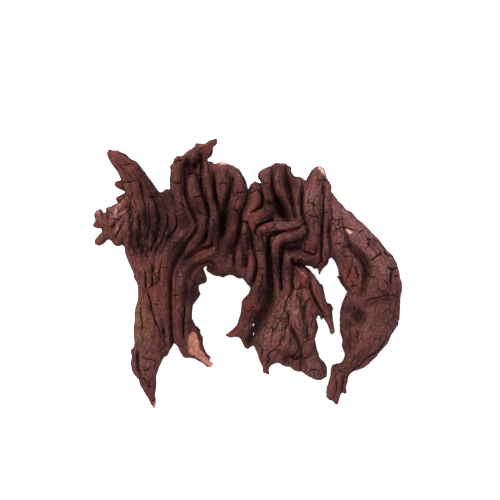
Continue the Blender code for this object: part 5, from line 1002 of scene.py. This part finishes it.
def roughen(obj, form, crackMap, fluted):
    # Raises low lumps and knots, and sinks the flutes between the fibres and the cracks.
    places, facing = readMesh(obj)
    along, across, number = foldGrain(places)
    lump = layeredNoise(places, wood["lumpSize"], 5) - 0.5
    bend = latticeNoise(places, 9.0, 21) * 1.6
    lanes = across / wood["fluteSpacing"] + bend + number * 7.7
    flow = np.column_stack([along / wood["fluteLength"], lanes, places[:, 2] / wood["fluteHeight"]])
    valleys = np.clip(1 - np.abs(layeredNoise(flow, 1.0, 8, 2) - 0.5) / wood["valleyWidth"], 0, 1) ** 1.5
    share = 0.3 + 0.7 * np.clip(fluted.read(places), 0, 1)
    knots = (layeredNoise(places, wood["knotSize"], 31, 2) - 0.5) * (1.3 - share)
    shift = 2 * wood["lumpHeight"] * lump + 2 * wood["knotHeight"] * knots
    shift = shift - wood["fluteDepth"] * valleys * share
    front = places[:, 2] > form.middle.read(places)
    crack = np.where(front, crackMap.read(places) * np.clip(facing[:, 2] / 0.35, 0, 1), 0)
    depth = np.minimum(wood["crackDepth"] * crack, 0.8 * form.half.read(places))
    clear = np.clip(places[:, 2] / 1.5, 0, 1)  # nothing is raised on the flats that it rests on
    places += facing * (shift * clear)[:, None]
    places[:, 2] -= depth
    writeMesh(obj, places)


def spotMap(spots):
    # Soft-edged spots, of which the strongest counts where they meet.
    field = Field(1.0)
    x, y = field.grid()
    for px, py, reach, *weight in spots:
        share = weight[0] if weight else 1.0
        spot = share * np.exp(-((x - px) ** 2 + (y - py) ** 2) / (1.1 * reach**2))
        field.values = np.maximum(field.values, spot)
    field.values = np.clip(field.values, 0, 1)
    return field


def cutSlits(piece):
    # Takes each slit out of the wood, from top to bottom.
    tall, middle = 0.1, 0.03
    for x, y, width, length, turn in slits:
        turned = (0, 0, np.radians(turn))
        bpy.ops.mesh.primitive_cube_add(size=1, location=(x * mm, y * mm, middle), rotation=turned)
        cutter = bpy.context.object
        cutter.scale = (width * mm, length * mm, tall)
        bpy.ops.object.transform_apply(location=True, rotation=True, scale=True)
        applied(piece, "BOOLEAN", object=cutter, operation="DIFFERENCE", solver="FAST")
        bpy.data.objects.remove(cutter, do_unlink=True)


def thinOut(piece, form, crackMap):
    # The faces are thinned out most on the underside and least along the cracks.
    places, _ = readMesh(piece)
    thinning = piece.vertex_groups.new(name="thinning")
    front = places[:, 2] > form.middle.read(places) - 2
    cracked = front & (crackMap.read(places) > 0.05)
    for chosen, weight in ((front & ~cracked, 0.5), (~front, 1.0), (cracked, 0.12)):
        thinning.add(np.flatnonzero(chosen).tolist(), weight, "REPLACE")
    share = wood["triangles"] / (2 * len(piece.data.polygons))
    if share < 1:
        applied(piece, "DECIMATE", ratio=share, vertex_group="thinning", vertex_group_factor=3.0)


def fitToBox(piece):
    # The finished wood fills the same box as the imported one, and no more.
    gap = 0.02
    places, _ = readMesh(piece)
    places[:, 2] = np.maximum(places[:, 2], 0)
    low, high = np.array(cadBox) / mm
    first, last = places.min(0), places.max(0)
    places = low + gap + (places - first) * (high - low - 2 * gap) / (last - first)
    places[:, 2] -= places[:, 2].min()
    writeMesh(piece, places)


def recess(places, front, form, reach):
    # How far below its surroundings each place lies, in millimetres.
    value = np.zeros(len(places))
    empty = -1e3
    for side, sign in ((front, 1), (~front, -1)):
        tops = Field(1.0, empty)
        chosen = places[side]
        i = np.round(chosen[:, 0] - tops.low[0]).astype(int)
        j = np.round(chosen[:, 1] - tops.low[1]).astype(int)
        np.maximum.at(tops.values, (j, i), sign * chosen[:, 2])
        tops.values = np.where(tops.values > empty, tops.values, sign * form.middle.readOn(tops))
        tops.blur(reach)
        value[side] = tops.read(chosen) - sign * chosen[:, 2]
    return value


def addAttribute(obj, name, values, kind="FLOAT"):
    layer = obj.data.attributes.new(name, kind, "POINT")
    key = "value" if kind == "FLOAT" else "vector"
    layer.data.foreach_set(key, np.asarray(values, np.float32).ravel())


def finishMaps(obj, form, crackMap, furrowMap):
    # What the finish goes by at each place: the form's own hollows, and the listed spots.
    places, facing = readMesh(obj)
    front = places[:, 2] > form.middle.read(places)
    cut = front & (facing[:, 2] > -0.2)  # where a cut from above reaches
    near, wide = recess(places, front, form, 2.2), recess(places, front, form, 6.0)
    # How far each place lies below its surroundings, and how deep a crack or a furrow cuts it: the painted
    # shade goes by these, and the painted highlight on the crests by the first.
    addAttribute(obj, "hollow", np.clip(near / 3.2, -1, 1))
    addAttribute(obj, "deep", np.clip(wide / 9.0, -1, 1))
    addAttribute(obj, "crack", np.where(cut, crackMap.read(places), 0))
    addAttribute(obj, "furrow", np.where(cut, np.clip(furrowMap.read(places) / 6, 0, 1), 0))
    addAttribute(obj, "steep", 1 - np.clip(np.abs(facing[:, 2]), 0, 1))
    along, across, number = foldGrain(places)
    apart = 31.0  # gives each fold a part of the grain of its own
    grain = np.column_stack([along, across + number * apart, number])
    addAttribute(obj, "grain", grain * mm, "FLOAT_VECTOR")
    bareAndHighlight, dished = Field(0.4), Field(0.8)
    for run in bareAndHighlightRuns:
        bareAndHighlight.stamp([(x, y, reach * 1.5, height) for x, y, reach, height in smoothRun(run, 0.5)], 1.0)
    for run in hollows:
        rows = smoothRun(run, 1.0)
        dished.stamp([(x, y, reach * 1.15, min(1, depth / 9)) for x, y, reach, depth in rows], 1.0)
    spots = {"ember": emberSpots, "dustAndHighlight": dustAndHighlightSpots, "olive": oliveSpots, "fluted": flutedSpots}
    marks = {name: spotMap(listed).read(places) for name, listed in spots.items()}
    marks["bareAndHighlight"] = bareAndHighlight.read(places)
    # Painted shade: the listed dark spots, and the broad hollows by their depth.
    marks["paintedShade"] = np.maximum(spotMap(paintedShadeSpots).read(places), dished.read(places))
    for name, values in marks.items():
        addAttribute(obj, name, np.where(front, values, 0))


def addNode(tree, kind, inputs=(), output=0, **settings):
    # Inputs are values or other nodes' outputs, in the order of the sockets or by their number or name.
    node = tree.nodes.new("ShaderNode" + kind)
    for name, value in settings.items():
        setattr(node, name, value)
    for socket, value in (inputs if isinstance(inputs, dict) else dict(enumerate(inputs))).items():
        if isinstance(value, bpy.types.NodeSocket):
            tree.links.new(value, node.inputs[socket])
        else:
            node.inputs[socket].default_value = value
    return node.outputs[output]


finish = {
    "tones": {
        "heart": "#44211e",  # the wood's own brown
        "warm": "#512923",
        "cool": "#43292b",
        "orange": "#5f2f22",
        "crest": "#5b3431",  # rubbed and dusty, and partly a painted highlight
        "ember": "#74301f",  # redder wood that the weather has opened
        "olive": "#6e4a30",  # where dry lichen has coloured the fibres
        # dust, and in places a painted highlight
        "dustAndHighlight": "#754d4c",
        # painted shade, in the sheltered places and on the steep sides
        "paintedShade": "#271112",
        "fleck": "#9b7a6c",
        "paintedDeepShade": "#180d11",  # painted shade down in the furrows, cracks and hollows
        "bareAndHighlight": "#a96e5f",  # freshly broken wood, and the painted highlights on some crests
        "bareDusty": "#c69a8e",  # and where it has dried out
    },
    "roughness": 0.86,
    "ior": 1.4,
    "gloss": 0.14,  # hardly any, as the open fibres scatter the light
    # The noises: what they follow, one lump's size in mm, detail and roughness.
    "noises": {
        "fibres": ("grain", (9, 0.7), 4.0, 0.6),  # coarser than real fibres, so that they show
        "flutes": ("grain", (30, 2.4), 3.0, 0.5),
        "specks": ("Object", 1.6, 2.0, 0.5),
        "pores": ("Object", 2.2, 3.0, 0.5),
        "patches": ("Object", 22, 4.0, 0.55),
        "blotches": ("Object", 6, 3.0, 0.6),
    },
    "checkSize": (10.0, 5.0),  # mm between the fine cracks, along and across a fold
    "strayCell": 4,  # mm over which they wander once
    "strayShare": 0.35,  # and how far, as a share of their spacing
    # Where the fine cracks show: pattern, gain and offset.
    "checkFades": [("patches", 5.0, -1.9), ("fluted", -0.85, 1.0), ("steep", -1.5, 1.6)],
    # The colours in the order that they lie over each other: tone, where, pattern, gain and offset.
    "layers": [
        ("warm", None, "patches", 3.0, -1.0), ("cool", None, "blotches", 4.0, -2.1),
        ("orange", None, "blotches", -4.0, 1.7), ("crest", "rubbedAndHighlit", "fibres", 1.6, -0.1),
        ("ember", "reddened", "blotches", 2.6, -0.85), ("olive", "olive", "fibres", 3.0, -0.9),
        ("dustAndHighlight", "dustAndHighlight", "pores", 2.0, -0.4), ("paintedShade", None, "paintedShade", 0.86, 0.0),
        # painted shade on the steep sides, which turn away from the light
        ("paintedShade", None, "steep", 1.1, -0.45),
    ],
    # How patterns darken and lighten the wood: pattern, from, to, darkest, lightest, share on bare wood.
    "tints": [
        ("fibres", 0.28, 0.72, 0.55, 1.45, 0.6), ("flutes", 0.33, 0.43, 0.35, 1.0, 0.0),
        ("flutes", 0.43, 0.75, 1.0, 1.15, 0.0), ("pores", 0.3, 0.5, 0.7, 1.0, 0.8),
        ("pores", 0.5, 0.7, 1.0, 1.35, 0.8),
    ],
    # What is in shade, of which the darkest counts: pattern, from, to, how dark, and how it sets in.
    "shades": [
        ("hollow", 0.3, 1.0, 0.55, "SMOOTHSTEP"), ("deep", 0.3, 1.0, 0.5, "SMOOTHSTEP"),
        ("furrow", 0.2, 0.8, 0.42, "SMOOTHSTEP"), ("paintedShade", 0.5, 1.0, 0.3, "LINEAR"),
        ("crack", 0.24, 1.04, 1.0, "LINEAR"), ("checks", 0.0, 1.0, 0.72, "LINEAR"),
    ],
    "darkest": 0.86,
    "relief": [("fibres", 1.0), ("pores", 0.6), ("checks", -1.2), ("flutes", 1.6)],
    "reliefStrength": 0.7,
    "reliefDepth": 0.9,  # mm
}


# The settings of a node that multiplies and adds within 0 to 1, and of one that mixes colours.
gained = {"operation": "MULTIPLY_ADD", "use_clamp": True}
mixed = {"data_type": "RGBA"}


def woodPatterns(tree):
    # The maps that the wood carries, and the noises that are drawn on top of them.
    marks = ("hollow", "deep", "crack", "furrow", "steep", "bareAndHighlight", "ember", "dustAndHighlight", "olive", "fluted",
             "paintedShade")
    maps = {name: addNode(tree, "Attribute", output="Fac", attribute_name=name) for name in marks}
    grain = addNode(tree, "Attribute", output="Vector", attribute_name="grain")
    place = addNode(tree, "TexCoord", output="Object")
    for name, (follows, size, detail, rough) in finish["noises"].items():
        vector, scale = place, 1.0
        if follows == "grain":
            stretch = (1 / (size[0] * mm), 1 / (size[1] * mm), 1)
            vector = addNode(tree, "VectorMath", (grain, stretch), operation="MULTIPLY")
        else:
            scale = 1 / (size * mm)
        inputs = {"Vector": vector, "Scale": scale, "Detail": detail, "Roughness": rough}
        maps[name] = addNode(tree, "TexNoise", inputs)
    stretch = (1 / (finish["checkSize"][0] * mm), 1 / (finish["checkSize"][1] * mm), 1)
    cells = addNode(tree, "VectorMath", (grain, stretch), operation="MULTIPLY")
    inputs = {"Vector": place, "Scale": 1 / (finish["strayCell"] * mm), "Detail": 2.0}
    stray = addNode(tree, "TexNoise", inputs, "Color")
    reach = (finish["strayShare"], finish["strayShare"], 0)
    cells = addNode(tree, "VectorMath", (stray, reach, cells), operation="MULTIPLY_ADD")
    inputs = {"Vector": cells, "Scale": 1.0}
    edges = addNode(tree, "TexVoronoi", inputs, "Distance", feature="DISTANCE_TO_EDGE")
    checks = addNode(tree, "Math", (edges, -12.0, 1.0), **gained)
    for pattern, gain, offset in finish["checkFades"]:
        fade = addNode(tree, "Math", (maps[pattern], gain, offset), **gained)
        checks = addNode(tree, "Math", (checks, fade), operation="MULTIPLY")
    maps["checks"] = checks
    # Lighter where the surface stands above its surroundings: rubbed wear on the crests, and partly a
    # painted highlight.
    maps["rubbedAndHighlit"] = addNode(tree, "Math", (maps["hollow"], -1.6, 0.45), **gained)
    maps["reddened"] = addNode(tree, "Math", (maps["ember"], 0.8), operation="MULTIPLY")
    return maps


def weatheredRoot():
    # Old root wood, dried and cracked by sun and water: matt, dark red brown, dusty and rubbed on the
    # crests, with a painted highlight there and painted shade in its hollows, furrows and cracks.
    material = bpy.data.materials.new("weatheredRootWood")
    material.use_nodes = True
    tree = material.node_tree
    shader = tree.nodes["Principled BSDF"]
    shader.inputs["Roughness"].default_value = finish["roughness"]
    shader.inputs["IOR"].default_value = finish["ior"]
    shader.inputs["Specular IOR Level"].default_value = finish["gloss"]
    maps = woodPatterns(tree)
    tones = {name: toLinear(value) for name, value in finish["tones"].items()}
    # A mix node takes its share at socket 0 and its two colours at 6 and 7, and gives its colour at 2.
    colour = tones["heart"]
    for tone, where, pattern, gain, offset in finish["layers"]:
        share = addNode(tree, "Math", (maps[pattern], gain, offset), **gained)
        if where:
            share = addNode(tree, "Math", (share, maps[where]), operation="MULTIPLY")
        colour = addNode(tree, "Mix", {0: share, 6: colour, 7: tones[tone]}, 2, **mixed)
    bareAndHighlight = addNode(tree, "Mix", {0: maps["dustAndHighlight"], 6: tones["bareAndHighlight"], 7: tones["bareDusty"]}, 2, **mixed)
    for pattern, low, high, dark, light, onBare in finish["tints"]:
        tint = addNode(tree, "MapRange", (maps[pattern], low, high, dark, light))
        colour = addNode(tree, "Mix", {0: 1.0, 6: colour, 7: tint}, 2, blend_type="MULTIPLY", **mixed)
        bareAndHighlight = addNode(tree, "Mix", {0: onBare, 6: bareAndHighlight, 7: tint}, 2, blend_type="MULTIPLY", **mixed)
    # The flecks of dust gather a little more where the painted shade lies.
    flecks = addNode(tree, "Math", (maps["paintedShade"], 0.018, maps["specks"]), operation="MULTIPLY_ADD")
    flecks = addNode(tree, "Math", (flecks, 30.0, -21.4), **gained)
    colour = addNode(tree, "Mix", {0: flecks, 6: colour, 7: tones["fleck"]}, 2, **mixed)
    # The painted shade in the hollows, furrows, cracks and sheltered places, of which the darkest counts.
    shade = 0.0
    for pattern, low, high, dark, course in finish["shades"]:
        amount = addNode(tree, "MapRange", (maps[pattern], low, high, 0.0, dark), interpolation_type=course)
        shade = addNode(tree, "Math", (shade, amount), operation="MAXIMUM")
    shade = addNode(tree, "Math", (shade, finish["darkest"]), operation="MINIMUM")
    colour = addNode(tree, "Mix", {0: shade, 6: colour, 7: tones["paintedDeepShade"]}, 2, **mixed)
    # The patches of bare wood and the painted highlights have a ragged edge.
    ragged = addNode(tree, "Math", (maps["blotches"], 0.9, -0.45), operation="MULTIPLY_ADD")
    ragged = addNode(tree, "Math", (maps["bareAndHighlight"], ragged), operation="ADD")
    ragged = addNode(tree, "Math", (ragged, 2.4, -0.7), **gained)
    colour = addNode(tree, "Mix", {0: ragged, 6: colour, 7: bareAndHighlight}, 2, **mixed)
    tree.links.new(colour, shader.inputs["Base Color"])
    relief = 0.0
    for pattern, height in finish["relief"]:
        relief = addNode(tree, "Math", (maps[pattern], height, relief), operation="MULTIPLY_ADD")
    inputs = {"Strength": finish["reliefStrength"], "Distance": finish["reliefDepth"] * mm, "Height": relief}
    tree.links.new(addNode(tree, "Bump", inputs), shader.inputs["Normal"])
    return material


def buildWood():
    form = Form()
    print("form worked out")
    piece = swollenPlate(form)
    selectOnly(piece, foldTubes(form))
    bpy.ops.object.join()
    piece.name = "driftwoodRoot"
    applied(piece, "REMESH", mode="VOXEL", voxel_size=wood["cell"] * mm)
    print("folds fused:", len(piece.data.vertices), "points")
    cutSlits(piece)
    crackMap = crackField()
    furrowMap, carvedMap = furrowField()
    sinkFurrows(piece, form, carvedMap)
    print("furrows sunk")
    applied(piece, "REMESH", mode="VOXEL", voxel_size=wood["cell"] * mm)
    roughen(piece, form, crackMap, spotMap(flutedSpots))
    print("cracks and fibres cut:", len(piece.data.vertices), "points")
    thinOut(piece, form, crackMap)
    finishMaps(piece, form, crackMap, furrowMap)
    fitToBox(piece)
    piece.vertex_groups.clear()
    selectOnly(piece)
    bpy.ops.object.shade_smooth()
    piece.data.materials.clear()
    piece.data.materials.append(weatheredRoot())
    print("wood done:", sum(len(p.vertices) - 2 for p in piece.data.polygons), "triangles")
    return piece


studio = {
    "tableSize": 6.0,
    "tableGlow": 0.85,  # the paper is lit from below as well, so that its shadows stay pale
    "skyStrength": 0.95,
    "cameraHeight": 2.786,  # above the table
    "cameraPlace": (0.0018, 0.0234),  # over the middle of the picture
    "lens": 200,
    "lampAim": (0, 0, 0.02),
    # Each lamp's place, size, power and colour.
    "lamps": {
        "keyLight": ((-1.2, 0.9, 1.45), 0.5, 42, "#fff6ee"),
        "skyLight": ((0.9, 1.0, 1.5), 1.0, 14, "#eaf2ff"),
    },
}


def whiteTable():
    bpy.ops.mesh.primitive_plane_add(size=studio["tableSize"], location=(0, 0, -0.0005))
    table = bpy.context.object
    table.name = "whiteTable"
    material = bpy.data.materials.new("mattWhitePaper")  # uncoated card, so hardly any shine
    material.use_nodes = True
    shader = material.node_tree.nodes["Principled BSDF"]
    shader.inputs["Base Color"].default_value = toLinear("#f7f7f7")
    shader.inputs["Roughness"].default_value = 0.9
    shader.inputs["Specular IOR Level"].default_value = 0.1
    shader.inputs["Emission Color"].default_value = (1, 1, 1, 1)
    shader.inputs["Emission Strength"].default_value = studio["tableGlow"]
    table.data.materials.append(material)


def softBox(name, place, size, power, colour):
    bpy.ops.object.light_add(type="AREA", location=place)
    lamp = bpy.context.object
    lamp.name = name
    lamp.data.shape = "DISK"
    lamp.data.size = size
    lamp.data.energy = power
    lamp.data.color = toLinear(colour)[:3]
    back = lamp.location - Vector(studio["lampAim"])
    lamp.rotation_euler = back.to_track_quat("Z", "Y").to_euler()


def buildStudio():
    whiteTable()
    for name, settings in studio["lamps"].items():
        softBox(name, *settings)
    world = bpy.data.worlds.new("paleRoom")
    world.use_nodes = True
    world.node_tree.nodes["Background"].inputs[0].default_value = (1, 1, 1, 1)
    world.node_tree.nodes["Background"].inputs[1].default_value = studio["skyStrength"]
    bpy.context.scene.world = world
    bpy.ops.object.camera_add(location=(*studio["cameraPlace"], studio["cameraHeight"]), rotation=(0, 0, 0))
    camera = bpy.context.object
    camera.data.lens = studio["lens"]
    camera.data.sensor_width = 36
    camera.data.clip_end = 20
    bpy.context.scene.camera = camera
    bpy.context.scene.view_settings.view_transform = "Standard"
    print("studio lit")


piece = buildWood()
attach(piece, "root")
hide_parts("driftwood")
buildStudio()
